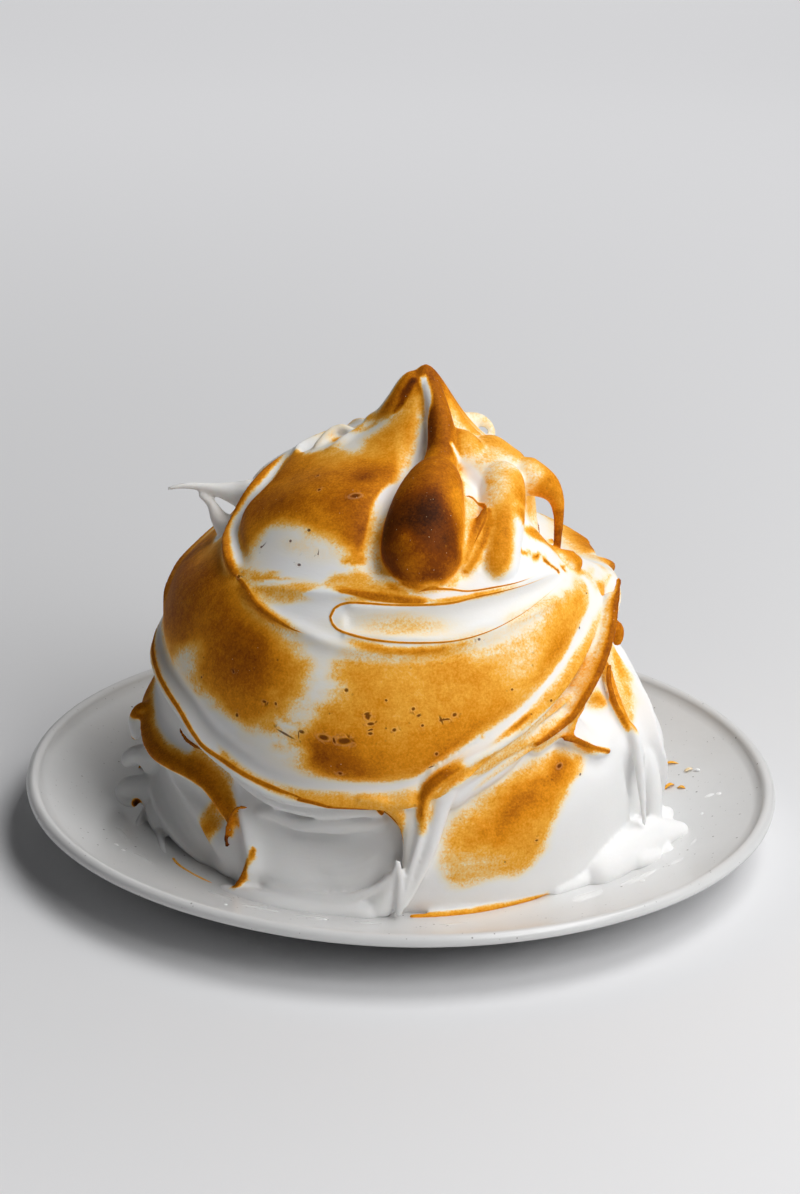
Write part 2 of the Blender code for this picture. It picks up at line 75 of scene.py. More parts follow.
# The dome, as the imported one.
DOME_RADIUS = 91.0 * MM
DOME_RISE = 98.0 * MM
RING_HEIGHT = 50.0 * MM
WALL_POWER = 8
FLANK_BEARING, FLANK_RISE = 85.0, 15.0
FLANK_SPAN, FLANK_DEPTH = (38.0, 16.0), 0.14
PEAK_HEIGHT = 25.0 * MM
PEAK_SPREAD = 13.8 * MM
PEAK_POWER = 1.7
PEAK_SHIFT = 5.0 * MM
PEAK_FROM, PEAK_SPAN = 30.0, 30.0
WALL_NORMAL_SHARE = 0.001
WOBBLE_WAVES = 7

# Mesh sizes.
DOME_SUBDIVISIONS = 8
VOXEL = 0.75 * MM
CREASE_EASE = 4
SKIN_EASE = 4
MERINGUE_TRIANGLES = 192000
SMOOTHING = 0.5
CURL_ROUNDNESS = 14
CURL_TIP = 0.04
HIDDEN_DEPTH = 3.0 * MM


# ---------------------------------------------------------------- the dome's surface

def smooth_step(value):
    """0 below 0, 1 above 1, and a smooth rise between."""
    value = np.clip(value, 0.0, 1.0)
    return value * value * (3.0 - 2.0 * value)


def direction(bearing, rise):
    """Unit vectors for bearings and rises in degrees."""
    bearing, rise = np.radians(bearing), np.radians(rise)
    flat = np.cos(rise)
    return np.stack([np.sin(bearing) * flat, -np.cos(bearing) * flat, np.sin(rise)], axis=-1)


def bearing_and_rise(directions):
    """Bearings and rises in degrees of unit vectors."""
    bearing = np.degrees(np.arctan2(directions[:, 0], -directions[:, 1]))
    rise = np.degrees(np.arcsin(np.clip(directions[:, 2], -1.0, 1.0)))
    return bearing, rise


def dome_reach(directions):
    """Distance from the dome's centre to its plain surface along unit vectors."""
    level = np.hypot(directions[:, 0], directions[:, 1])
    up = directions[:, 2]
    upper = 1.0 / np.sqrt((level / DOME_RADIUS) ** 2 + (up / DOME_RISE) ** 2)
    lower = ((level / DOME_RADIUS) ** WALL_POWER + (np.abs(up) / RING_HEIGHT) ** WALL_POWER) ** (
        -1.0 / WALL_POWER
    )
    bearing, rise = bearing_and_rise(directions)
    flank = np.exp(
        -(((bearing - FLANK_BEARING) / FLANK_SPAN[0]) ** 2) - ((rise - FLANK_RISE) / FLANK_SPAN[1]) ** 2
    )
    return np.where(up > 0.0, upper, lower) * (1.0 - FLANK_DEPTH * flank)


def on_dome(directions):
    """Points on the plain dome along unit vectors."""
    return directions * np.reshape(dome_reach(directions), (-1, 1)) + np.array([0.0, 0.0, RING_HEIGHT])


def dome_normals(directions):
    """Outward normals of the plain dome, with the wall and the flank taken as an ellipsoid."""
    normals = directions / np.array([DOME_RADIUS, DOME_RADIUS, DOME_RISE]) ** 2
    normals[:, 2] *= np.where(directions[:, 2] > 0.0, 1.0, WALL_NORMAL_SHARE)
    return normals / np.linalg.norm(normals, axis=1, keepdims=True)


def level_and_uphill(normal):
    """The level and the uphill direction along the dome where it has a normal."""
    level = np.cross([0.0, 0.0, 1.0], normal)
    level /= np.linalg.norm(level)
    return level, np.cross(normal, level)


def dome_place(bearing, rise):
    """A point on the plain dome in millimetres, its normal and its level and uphill directions."""
    towards = direction(np.array([bearing]), np.array([rise]))
    normal = dome_normals(towards)[0]
    return on_dome(towards)[0] / MM, normal, *level_and_uphill(normal)


def wave_sum(places, pitch, count, seed):
    """A sum of waves that run all ways over some places, of about a pitch in millimetres."""
    draw = np.random.default_rng(seed)
    total = np.zeros(len(places))
    for _ in range(count):
        axis = draw.normal(size=3)
        axis /= np.linalg.norm(axis)
        total += np.sin(places @ axis * (2.0 * math.pi / pitch) + draw.uniform(0.0, 2.0 * math.pi))
    return total


def smooth_line(stations, steps=14):
    """Catmull-Rom curve through rows of numbers, with the end rows kept."""
    rows = np.array(stations, float)
    rows = np.vstack([2.0 * rows[0] - rows[1], rows, 2.0 * rows[-1] - rows[-2]])
    share = np.linspace(0.0, 1.0, steps, endpoint=False)[:, None]
    pieces = []
    for a, b, c, d in zip(rows, rows[1:], rows[2:], rows[3:]):
        pieces.append(
            0.5
            * (
                2.0 * b
                + (c - a) * share
                + (2.0 * a - 5.0 * b + 4.0 * c - d) * share**2
                + (3.0 * b - a - 3.0 * c + d) * share**3
            )
        )
    return np.vstack([*pieces, rows[-2:-1]])


class DomeSkin:
    """Points of the plain dome, and where they lie by paths and places on it, in millimetres."""

    def __init__(self, directions):
        self.base = on_dome(directions) / MM
        self.normal = dome_normals(directions)
        self.bearing, self.rise = bearing_and_rise(directions)

    def follow(self, path):
        """Where each point lies by a path of (bearing, rise): the share of the way along, the distance
        across, positive above a path that runs left to right, and the direction across."""
        places = smooth_line(path)
        towards = direction(places[:, 0], places[:, 1])
        line = on_dome(towards) / MM
        legs = np.diff(line, axis=0)
        leg_normals = dome_normals(towards)[:-1]
        across = np.cross(leg_normals, legs)
        across /= np.linalg.norm(across, axis=1, keepdims=True)
        squared = (line**2).sum(axis=1)[None, :] - 2.0 * self.base @ line.T
        nearest = squared.argmin(axis=1)
        share = np.zeros(len(nearest))
        distance = np.full(len(nearest), np.inf)
        sideways = np.zeros_like(self.base)
        for step_back in (1, 0):
            leg = np.clip(nearest - step_back, 0, len(legs) - 1)
            gap = self.base - line[leg]
            along = np.clip((gap * legs[leg]).sum(axis=1) / (legs[leg] ** 2).sum(axis=1), 0.0, 1.0)
            gap -= legs[leg] * along[:, None]
            apart = np.linalg.norm(gap, axis=1)
            closer = apart < np.abs(distance)
            side = np.where((gap * across[leg]).sum(axis=1) < 0.0, -1.0, 1.0)
            distance = np.where(closer, apart * side, distance)
            share = np.where(closer, (leg + along) / len(legs), share)
            sideways = np.where(closer[:, None], across[leg], sideways)
        return share, distance, sideways

    @staticmethod
    def fade(share, ends):
        """Fades a mark in and out over shares of its path at its two ends."""
        return smooth_step(share / max(ends[0], 1e-6)) * smooth_step((1.0 - share) / max(ends[1], 1e-6))

    def oval(self, centre, radii, turn=0.0):
        """How far each point is from a place, as a share of an oval's radius that way. The first radius
        lies level when the turn is 0, and a turn tips it up to the right."""
        middle, normal, level, uphill = dome_place(*centre)
        gap = self.base - middle
        x, y = gap @ level, gap @ uphill
        angle = math.radians(turn)
        far = np.hypot(
            (x * math.cos(angle) + y * math.sin(angle)) / radii[0],
            (y * math.cos(angle) - x * math.sin(angle)) / radii[1],
        )
        return np.where((self.normal @ normal) > 0.0, far, np.inf)


class Sculpt(DomeSkin):
    """The dome's surface as it is worked. Heights are in millimetres along the plain dome's normals."""

    def __init__(self, directions):
        super().__init__(directions)
        self.height = np.zeros(len(directions))
        self.slide = np.zeros_like(self.base)

    def ridge(self, path, height, width, ends=(0.2, 0.2), lean=0.0):
        """A crest, or a groove where the height is negative. A lean slides its top across."""
        share, across, side = self.follow(path)
        weight = self.fade(share, ends) * np.exp(-(np.abs(across / width) ** 1.5))
        self.height += height * weight
        self.slide += side * (lean * weight)[:, None]

    def edge(self, path, lip, drop, reach, lip_width=4.0, fall=2.5, ends=(0.15, 0.15), lean=0.0, valley=0.0):
        """A layer's edge: a raised lip above the path and a fall to a recess below it."""
        share, across, side = self.follow(path)
        below = np.maximum(-across, 0.0)
        above = np.maximum(across, 0.0)
        crest = lip * np.exp(-((above / lip_width) ** 2))
        crest -= valley * np.exp(-(((above - 2.2 * lip_width) / (1.2 * lip_width)) ** 2)) * (across > 0.0)
        floor = lip - (lip + drop) * smooth_step(below / fall)
        floor += drop * smooth_step((below - fall) / reach)
        weight = self.fade(share, ends)
        self.height += weight * np.where(across > 0.0, crest, floor)
        hang = weight * np.exp(-((across / (0.7 * lip_width)) ** 2))
        self.slide -= side * (lean * hang)[:, None]

    def scoop(self, path, depth, widths, rim=0.0, rim_width=1.6, ends=(0.1, 0.2), cover=0.6):
        """A spatula's track: a hollow with a rim, over what was there before."""
        share, across, _ = self.follow(path)
        half = np.interp(share, np.linspace(0.0, 1.0, len(widths)), widths)
        ratio = np.abs(across) / half
        weight = self.fade(share, ends)
        inside = weight * smooth_step((1.12 - ratio) / 0.25)
        self.height *= 1.0 - cover * inside
        self.height -= weight * depth * np.clip(1.0 - ratio**2, 0.0, 1.0)
        self.height += weight * rim * np.exp(-(((np.abs(across) - half) / rim_width) ** 2))

    def mound(self, centre, radii, height, turn=0.0):
        """A rounded swell, or a dip where the height is negative."""
        far = self.oval(centre, radii, turn)
        self.height += height * np.clip(1.0 - np.minimum(far, 1.0) ** 2, 0.0, 1.0) ** 2

    def wobble(self, amount, pitch, seed):
        """Low waves all over, as no hand-spread surface is even."""
        total = wave_sum(self.base, pitch, WOBBLE_WAVES, seed)
        self.height += amount * total / math.sqrt(WOBBLE_WAVES)

    def points(self):
        """The worked surface in metres, with the peak pulled up."""
        moved = self.base + self.normal * self.height[:, None] + self.slide
        moved[:, 2] += peak_pull(moved, self.rise)
        return moved * MM


def peak_pull(points, rise):
    """How far the peak is pulled up, in millimetres, at points in millimetres."""
    from_axis = np.hypot(points[:, 0] - PEAK_SHIFT / MM, points[:, 1])
    pulled = np.exp(-((from_axis / (PEAK_SPREAD / MM)) ** PEAK_POWER))
    return PEAK_HEIGHT / MM * pulled * smooth_step((rise - PEAK_FROM) / PEAK_SPAN)


BELLY_RIM = [
    (-97, 17), (-82, 14), (-70, 11.6), (-58, 8.2), (-49, 4), (-39, 1), (-26, -2), (-11, -1), (0, 0), (8, 3),
    (19, 10), (32, 16), (44, 23), (55, 29), (65, 36), (68, 41),
]
FIN = [(2, -12), (5, -4), (10, 3), (19, 7), (31, 12), (43, 16), (56, 21), (71, 28), (84, 37)]
BELLY_TOP = [(-51, 39), (-39, 35), (-27, 33), (-16, 31), (-1, 31), (11, 32), (24, 34), (37, 37), (52, 39)]
TONGUE = [(-15.5, 36.6), (0, 36.8), (12, 37.3), (26, 39.2), (42, 41), (60, 42)]
LEDGE = [(-48, 39), (-30, 41), (-14, 42.3), (-6, 43), (6, 41.8), (20, 42), (39, 43), (55, 44)]
APRON = [
    (-106, 1), (-94, -2), (-84, -4), (-76, -5.4), (-68, -6.2), (-60, -6.2), (-52, -6.6), (-46, -8.2),
    (-41.5, -11), (-39.4, -15),
]
LOBE_EDGE = [(-112, 62), (-91, 57), (-85, 50), (-79, 46), (-64, 43), (-51, 39)]


def work_form(dome):
    """The dome's own lean: its shoulders fall away below the peak."""
    dome.mound((95, 50), (62.0, 27.0), -17.0)
    dome.mound((114, 42), (44.0, 22.0), -15.0)
    dome.mound((72, 57), (27.0, 17.0), -9.0)
    dome.mound((86, 58), (24.0, 18.0), -6.0)
    dome.mound((-95, 42), (48.0, 24.0), -6.0)
    dome.mound((180, 52), (60.0, 30.0), -5.0)


def work_front(dome):
    """The marks that show from the front, in the order they were made."""
    # Lower wall: recessed below the belly, flaring out to the foot.
    dome.edge(BELLY_RIM, lip=3.4, drop=7.5, reach=30.0, lip_width=2.6, ends=(0.1, 0.3), lean=2.0, valley=1.8)
    dome.mound((-17, -14), (34.0, 17.0), -8.0)
    dome.ridge(
        [(-44, 0), (-40, -5), (-37, -10), (-34.5, -15), (-33, -18.5), (-34, -22), (-37, -28)],
        4.0, 2.6, ends=(0.1, 0.05),
    )
    dome.scoop([(-84, -11), (-68, -15), (-54, -19), (-44, -26)], 4.0, [6, 9, 9, 7], rim=0.6)
    # Foot of the niche: a flaring rim that climbs to a point beside the drip.
    dome.ridge([(-20, -18), (-14, -18), (-8, -16), (-4, -13)], 1.2, 1.2, ends=(0.3, 0.3))
    dome.ridge([(-16, -20.4), (-10, -19.6), (-5, -16)], 1.0, 1.0, ends=(0.3, 0.3))
    # Left apron: a second edge under the belly's left end.
    dome.edge(APRON, lip=4.4, drop=3.0, reach=14.0, lip_width=3.6, lean=1.2, valley=1.2)
    # Drip between the niche and the right face: two crests that meet at the foot.
    dome.mound((5, -2), (14.0, 11.0), 3.0)
    dome.ridge([(3.4, -3), (3, -9), (2.4, -15), (1.2, -22)], -3.4, 2.2, ends=(0.25, 0.2))
    # Fin: a tall thin crest along the belly's right end, with a trough behind it.
    dome.edge(
        FIN, lip=4.2, drop=4.5, reach=34.0, lip_width=2.4, fall=3.0, ends=(0.3, 0.1), lean=-0.8, valley=3.0,
    )
    # Pockets and folds at the right.
    dome.mound((55, 9.5), (9.0, 10.0), -7.0, turn=60)
    dome.edge([(39, 10), (43, 7), (49, 3), (57, 1)], lip=3.4, drop=1.6, reach=8.0, lip_width=2.4, fall=1.6,
              ends=(0.25, 0.3), lean=1.6)
    dome.mound((80, -4), (13.0, 27.0), 4.0)
    dome.mound((87, 13), (14.0, 12.0), -3.0)
    dome.ridge([(88, 22), (79, 10), (74, -1), (76, -11), (79, -26)], 5.4, 2.6, ends=(0.2, 0.03))
    dome.ridge([(72, 22), (66, 12), (64, 5), (66, -3), (69, -12)], 4.6, 2.0, ends=(0.15, 0.25), lean=-0.8)
    dome.ridge([(59, 0), (63, -8), (66, -16), (68, -24)], -3.0, 3.0, ends=(0.3, 0.1))
    dome.scoop([(98, 14), (93, 2), (91, -12), (94, -26)], 4.0, [5, 8, 10, 9], rim=1.0)
    # Fold over the belly, the ledge above it and the tongue-shaped track between them.
    dome.edge(BELLY_TOP, lip=1.4, drop=0.5, reach=10.0, lip_width=2.4, ends=(0.1, 0.5))
    dome.ridge(LEDGE, 2.0, 1.8, ends=(0.2, 0.2), lean=-0.8)
    dome.scoop(TONGUE, 1.8, [4.6, 5.2, 6.0, 5.8, 4.8, 3.0], rim=1.5, rim_width=1.3, ends=(0.0, 0.25))
    # Upper left lobe, its border and the valley inside the border.
    dome.mound((-38, 60), (36.0, 27.0), 4.0, turn=20)
    dome.edge(LOBE_EDGE, lip=2.2, drop=1.0, reach=10.0, lip_width=2.2, ends=(0.2, 0.15), lean=0.8, valley=2.0)
    # Valleys to the left and the right of the bulb, running down from the peak.
    dome.ridge([(60, 86), (12, 79), (-3, 70), (-11, 60), (-11, 51), (-6, 45)], -3.6, 3.6, ends=(0.15, 0.15))
    dome.mound((42, 66), (24.0, 15.0), 5.0, turn=-25)
    dome.ridge(
        [(34, 77), (31, 71), (33, 66), (34, 61), (30, 56), (22, 50), (13, 45)],
        -3.6, 2.8, ends=(0.2, 0.15),
    )
    # Crests and a small crater down the peak's left slope.
    dome.ridge([(-170, 86), (-100, 82), (-84, 77), (-78, 71)], 2.4, 2.0, ends=(0.1, 0.3))
    dome.scoop([(-130, 70), (-112, 68), (-98, 68)], 3.0, [4, 5, 3.5], rim=1.6, ends=(0.0, 0.0))


BACK_EDGES = [
    [(98, 36), (118, 22), (140, 12), (165, 8), (190, 10), (215, 16), (240, 24), (262, 24)],
    [(80, 52), (108, 44), (135, 40), (165, 42), (195, 46), (225, 54)],
    [(205, 36), (230, 34), (248, 30), (262, 26), (276, 20)],
]


def work_back(dome):
    """Marks of the same kind round the sides and the back."""
    low, high, side = BACK_EDGES
    dome.edge(low, lip=3.2, drop=5.5, reach=28.0, lip_width=2.8, ends=(0.1, 0.15), lean=1.6, valley=1.6)
    dome.edge(high, lip=2.6, drop=2.5, reach=16.0, lip_width=2.6, lean=1.0, valley=1.4)
    dome.edge(side, lip=2.2, drop=2.0, reach=14.0, lip_width=2.6)
    dome.scoop([(120, 28), (140, 27), (162, 28), (184, 33)], 2.4, [5, 7, 7, 4], rim=1.4, ends=(0.0, 0.2))
    dome.ridge([(150, 10), (147, -2), (149, -14), (152, -28)], 4.5, 3.0, ends=(0.15, 0.05))
    dome.ridge([(205, 13), (200, 0), (204, -14), (210, -28)], 4.0, 3.0, ends=(0.15, 0.05))
    dome.scoop([(116, 2), (128, -4), (138, -13), (144, -24)], 3.5, [5, 9, 10, 7], rim=1.0)
    dome.scoop([(160, -1), (174, -6), (188, -13), (200, -24)], 3.5, [6, 9, 10, 7], rim=1.0)
    dome.scoop([(222, 6), (236, 1), (248, -8), (254, -24)], 3.0, [6, 9, 9, 7], rim=1.0)
    dome.mound((172, 60), (26.0, 20.0), 4.0, turn=-20)
    dome.ridge([(120, 82), (140, 72), (150, 62), (152, 50)], -3.0, 3.2, ends=(0.2, 0.2))
    dome.ridge([(230, 80), (215, 70), (205, 62), (200, 52)], 2.6, 2.4, ends=(0.2, 0.3))


# Curls, lumps and splashes: each a chain of (x, y, z, radius) in millimetres.
CURLS = {
    "hood": [
        (4.5, 0, 168.4, 4.2), (0, -1, 165, 4.8), (-4, -1.5, 158.5, 5), (-8, 1, 151, 6), (-15, 4, 144.5, 7),
    ],
    "mid_ridge": [
        (5.5, -2.5, 167.5, 3.8), (8.6, -9, 161.3, 4), (10.4, -16, 155.2, 4.6), (11, -23, 149.6, 5.2),
        (10.2, -30, 145, 6.2), (9, -36, 141, 8),
    ],
    "right_flank": [(6, 0, 168, 3.8), (11.6, -3, 158, 4.2), (16.6, -6, 150, 5.4), (23, -9, 142.4, 7.6)],
    "bulb": [
        (10.4, -28, 146.5, 5.6), (9, -35, 142.6, 9), (7, -43.5, 136.8, 12), (5.4, -52, 129.4, 13.6),
        (4.8, -59, 121.6, 13.2), (4.8, -66.5, 112.8, 10),
    ],
    "right_lobe": [
        (30, -20, 142, 8), (31, -30, 137.5, 8.4), (31, -39, 131.5, 8.2), (30.6, -46.5, 125.5, 7.6),
        (30.4, -53, 119.5, 6.8), (30.6, -59, 113.5, 5),
    ],
    "right_lobe_small": [(24, -46, 129.5, 5), (21.5, -52.5, 123, 5), (19.4, -59, 116, 4)],
    "leaf": [
        (17.5, -60, 120, 1.1), (20, -56.5, 126, 1.1), (23, -50, 132, 1.1), (25.4, -46, 135.6, 1.1),
        (26.6, -46.5, 133.6, 1.1), (25.6, -52, 128.6, 1.1), (22, -57.5, 122.5, 1.1),
        (18.6, -60.5, 118.6, 1.1),
    ],
    "leaf_bed": [(20, -42, 131, 6.5), (20.5, -49, 125.5, 6.5), (19.5, -55, 119, 6)],
    "shoulder": [(20, -9, 146, 9), (28, -13, 142.4, 8.6), (35, -16, 139.4, 7.6), (41, -18, 138, 6.2)],
    "shoulder_fill": [(18, -14, 142, 11), (24, -20, 138.4, 11), (29, -27, 134, 10), (31, -34, 129, 9)],
    "flank_fill": [(12, -12, 152, 7), (17, -18, 146, 8.6), (23, -24, 140.6, 9)],
    "hook": [
        (35, -16, 140.4, 7.6), (41.5, -18, 138.6, 6.4), (47, -19, 136, 4.8), (50.4, -19, 131.6, 2.9),
        (51.6, -19, 125.5, 1.9), (51.6, -20, 118.5, 1.5), (51.2, -22, 111.8, 1.3), (50.2, -24, 107.4, 1.1),
        (48.4, -25.4, 105.6, 1.0), (46.6, -26, 106.4, 0.8),
    ],
    "behind_band": [
        (37, -33, 125, 3), (41, -31, 120.6, 3), (46, -29, 116.4, 3), (51, -27, 113, 3.4),
        (56.5, -26, 111, 4), (60, -25, 111.5, 2.6),
    ],
    "foot_ridge": [
        (35, -44, 121.5, 1.6), (39, -43, 119.4, 1.6), (43.5, -42, 116, 1.6), (48, -40, 112.8, 1.6),
        (52, -36, 111.5, 1.8),
    ],
    "foot_fold": [(38, -47, 114.5, 1.5), (40.5, -47, 110.5, 1.5), (41.5, -48, 106.5, 1.2)],
    "wisp": [
        (-52, 6, 121, 8), (-59, 7.5, 121.6, 5), (-66, 8.5, 122.6, 2.8), (-73, 9, 123.6, 1.6),
        (-79, 9, 123.8, 1.1), (-85.5, 9, 122.6, 0.7),
    ],
    "wisp_foot": [(-61, 4, 108, 6), (-66.5, 6, 113, 3.2), (-69.5, 7.6, 118, 1.8), (-74, 8.6, 121.6, 1.2)],
    "crater": [
        (-33, 2, 140, 1.6), (-29, 5, 144.6, 1.6), (-24.6, 6.5, 147, 1.6), (-20.4, 4, 146.4, 1.6),
        (-20, -0.5, 144.2, 1.6), (-24, -3, 142.2, 1.4),
    ],
    "crater_rim": [(-22, 1, 145, 1.4), (-17, 0.5, 147, 1.5), (-12, 0, 150, 1.6), (-7, 0, 154, 1.8)],
    "back_curl": [
        (13, 12, 146, 6), (20, 17, 147, 4), (24.5, 19, 147.4, 2.4), (28, 18, 145.6, 1.5),
        (29, 16, 142.6, 1.2), (27, 14, 139.8, 1.1),
    ],
    "fin_blade": [
        (72.8, -25.6, 105.6, 0.9), (72, -31, 102.3, 1.2), (71, -36, 99, 1.5), (70, -41.4, 93.8, 1.6),
        (68.4, -46.6, 88.4, 1.6), (66, -51.6, 83, 1.6), (62.4, -57, 77.4, 1.6), (59.4, -60, 73, 1.6),
        (56.6, -62, 69.4, 1.5), (53, -64.6, 66.6, 1.3), (48.8, -69, 64.6, 1.0), (44, -73.8, 63, 0.6),
    ],
    "fin_knob": [
        (70, -29, 90, 1.6), (72.6, -28.6, 88.6, 2.2), (73.4, -28.8, 85.6, 2.0), (72.6, -29.4, 82, 1.5),
    ],
    "thread_one": [
        (60.4, -49.1, 70.6, 0.7), (54.4, -59.2, 67.2, 0.9), (48.7, -66.5, 63.6, 1.0),
        (43.2, -71.6, 61.6, 1.0), (38.2, -75.6, 59.8, 1.0), (32.8, -79.2, 57.6, 0.9),
        (28.4, -81.8, 55.2, 0.8), (23.6, -84.0, 52, 0.5),
    ],
    "thread_two": [
        (55.6, -57.2, 71.3, 0.7), (50.0, -64.8, 68.1, 0.9), (44.6, -70.6, 65.4, 1.0),
        (39.2, -75.4, 63.2, 1.0), (33.9, -79.0, 61.4, 0.9), (28.1, -82.8, 59.2, 0.8),
        (22.9, -85.4, 56.4, 0.5),
    ],
    "drip_right": [
        (49.2, -67.5, 78.1, 0.8), (45.1, -71.6, 75.3, 1.1), (41.0, -75.6, 73.2, 1.4),
        (37.5, -78.7, 70.6, 1.6), (33.9, -81.6, 68.6, 1.8), (27.9, -85.4, 65.7, 1.9),
        (22.0, -88.1, 63.2, 2.0), (16.1, -90.4, 60.0, 2.2), (11.7, -91.7, 57.2, 2.3),
        (8.8, -92.2, 54.1, 2.3), (7.2, -92.5, 50.5, 2.1), (6.9, -92.7, 45.5, 1.8), (6.7, -93.0, 40.2, 1.5),
        (5.2, -93.5, 33.2, 1.3), (3.5, -93.9, 26.0, 1.1), (1.9, -94.6, 17.9, 1.0), (0.5, -95.0, 11.8, 0.8),
    ],
    "drip_face": [
        (15.5, -87.8, 54.6, 3.0), (14.5, -88.6, 51.3, 3.2), (12.6, -89.6, 47.2, 3.4),
        (11.1, -90.3, 41.4, 3.2), (9.2, -91.2, 33.0, 2.8), (6.4, -92.4, 24.7, 2.2), (3.6, -93.6, 17.4, 1.5),
        (1.1, -94.8, 12.1, 0.9),
    ],
    "drip_mid": [
        (3.6, -88.6, 52, 2.6), (3.4, -89.6, 46, 2.6), (3.1, -90.3, 38, 2.3), (2.6, -91.2, 29.5, 2.0),
        (1.8, -92.3, 21, 1.6), (0.8, -93.6, 14, 1.1),
    ],
    "drip_left": [
        (-15, -91.6, 49.6, 1.4), (-9.8, -92, 50, 1.8), (-5.6, -92, 49, 2.3), (-2.2, -91.6, 46.4, 2.3),
        (-0.1, -90.6, 42.8, 1.9), (1, -89.8, 38.6, 1.4), (1.4, -89.6, 34.6, 1.0), (1.2, -90.2, 30.6, 0.8),
    ],
    "lip_one": [
        (-58, -64.6, 47.6, 1.4), (-55.3, -66.8, 46.4, 1.8), (-48.9, -71.6, 43.8, 2.3),
        (-42, -75.8, 41.8, 2.5), (-33.8, -79.7, 41.2, 2.6), (-23.7, -83.2, 41.6, 2.6),
        (-13.7, -85.6, 43.4, 2.4), (-5.5, -86.6, 43.6, 1.8),
    ],
    "lip_two": [
        (-54.6, -64, 29.6, 1.2), (-51.2, -67, 32.6, 1.8), (-47, -70, 35, 2.4), (-42.1, -73, 36.2, 2.8),
        (-38, -75, 35, 2.8), (-33.9, -77, 34.4, 2.8), (-27.1, -79.6, 35.1, 2.8), (-19, -81.9, 36, 2.8),
        (-9.7, -83.6, 38, 2.4), (-3.7, -84.4, 39.6, 1.8),
    ],
    "foot_rim": [
        (-49, -73.4, 14.6, 1.0), (-45.9, -76.2, 12.2, 1.4), (-40.2, -81.2, 10.6, 1.8),
        (-33.4, -85.2, 11.2, 2), (-25.2, -88.6, 12.2, 2), (-17.1, -91, 14, 1.8), (-10.5, -92.6, 17, 1.5),
        (-5.4, -93.6, 21, 1.2), (-2.1, -94.4, 25.4, 1), (-0.9, -94.8, 30.2, 0.8),
    ],
    "foot_sheet": [
        (-0.7, -94.6, 29.8, 0.8), (-0.1, -94.8, 24, 1.1), (0, -94.6, 17, 1.3), (-0.2, -93.6, 9, 1.6),
    ],
    "foot_fill": [
        (-2.6, -93.2, 24.6, 1.9), (-4, -91.4, 18, 3.6), (-6.4, -88.4, 12, 6.2), (-9, -86.6, 8, 7),
    ],
    "foot_spread": [
        (-62, -71.4, 5.4, 3), (-57, -75.6, 5.6, 4), (-50, -80, 6.4, 4.4), (-42, -84, 6.8, 4.6),
        (-32, -87, 7.2, 4.6), (-22, -88.6, 8.2, 4.6), (-12, -90, 9.2, 4.6), (-6, -90.4, 9, 4),
    ],
    "foot_edge": [
        (3.2, -91.8, 7.6, 1.0), (14, -90, 7.6, 1.2), (26.6, -86, 7.8, 1.3), (37.4, -80, 7.8, 1.5),
        (44.6, -75.2, 7.8, 1.5), (50.2, -71.2, 7.8, 0.8),
    ],
    "apron_loop": [
        (-51.6, -74.4, 38.4, 0.6), (-55, -72.4, 37, 0.8), (-57.2, -71, 33.6, 0.8),
        (-58.6, -70.4, 28.8, 0.8), (-59.2, -70.8, 24.6, 0.8), (-58.2, -72.2, 22.4, 1.0),
    ],
    "apron_notch": [
        (-77, -45, 54.5, 0.6), (-74.6, -48.3, 51.8, 0.8), (-71, -52.8, 51, 0.8), (-67.6, -57, 51.4, 0.6),
    ],
    "apron_tip": [
        (-49.6, -76.4, 23.6, 0.6), (-50.6, -77, 19.6, 0.9), (-52.6, -77.2, 14.6, 1.1),
        (-55.4, -76.6, 9.6, 0.9),
    ],
    "blade": [
        (77.6, -38, 57, 1.4), (80, -40, 52.6, 1.8), (81.4, -41, 44.8, 1.8), (82.6, -41.4, 37.3, 1.6),
        (83.7, -42.4, 30, 1.3), (84.6, -44.4, 20.8, 0.8),
    ],
    "blade_back": [
        (82, -26, 46, 3), (85.5, -27, 38, 3.4), (88, -28, 29, 3.4), (89, -30, 20, 3), (89, -31, 12, 2.6),
    ],
    "side_crest": [
        (70.6, -31, 76, 0.9), (70.4, -35, 71, 1.1), (72.2, -38.2, 65.4, 1.1), (74.6, -39.6, 60.4, 1.0),
        (77.2, -40, 55.6, 0.7),
    ],
    "side_fold": [
        (53.4, -65.6, 62.4, 0.9), (56.4, -64.4, 61.8, 1.3), (59.4, -62.6, 60.2, 1.1),
        (63.2, -59.8, 57.4, 0.9), (67, -56.6, 54.6, 0.9), (71, -51.6, 51.8, 0.6),
    ],
    "side_fold_up": [
        (55.6, -63.6, 61.6, 1.2), (57.4, -61.6, 65.6, 0.9), (58.8, -58.4, 69, 0.7),
        (61.8, -52.4, 71.6, 0.7), (64, -47.2, 73.6, 0.7),
    ],
    "splash_right": [
        (64, -63, 8, 5), (71, -56, 11, 6.6), (79, -46, 12.6, 7.6), (86, -36, 12.4, 7.4),
        (92.5, -29, 11.4, 5.6), (98, -25.5, 10.6, 3.8), (102, -23.4, 11, 2.4),
    ],
    "splash_toe": [(88, -36, 8.5, 5), (93, -38, 8, 3.8), (96.4, -39.4, 7.6, 2.6)],
    "splash_tip": [(90, -25, 13, 4.4), (94, -21, 14.6, 3.2), (96.4, -18.6, 16, 2.0)],
    "splash_knob": [(78, -52, 12, 4.6), (83, -49.4, 11, 4.0), (88, -44, 9.6, 3.2), (91, -42, 8.6, 2.2)],
    "splash_roll": [(50, -71, 8, 3), (58, -65, 8.6, 3.6), (66, -59, 9, 4)],
    "dab_low": [
        (-84, -14, 14, 10), (-92, -16, 18.6, 5), (-97.6, -13, 16.8, 4), (-100.4, -12, 14.2, 2.6),
        (-98, -15.6, 12.6, 2), (-94.4, -18.6, 13.4, 1.8),
    ],
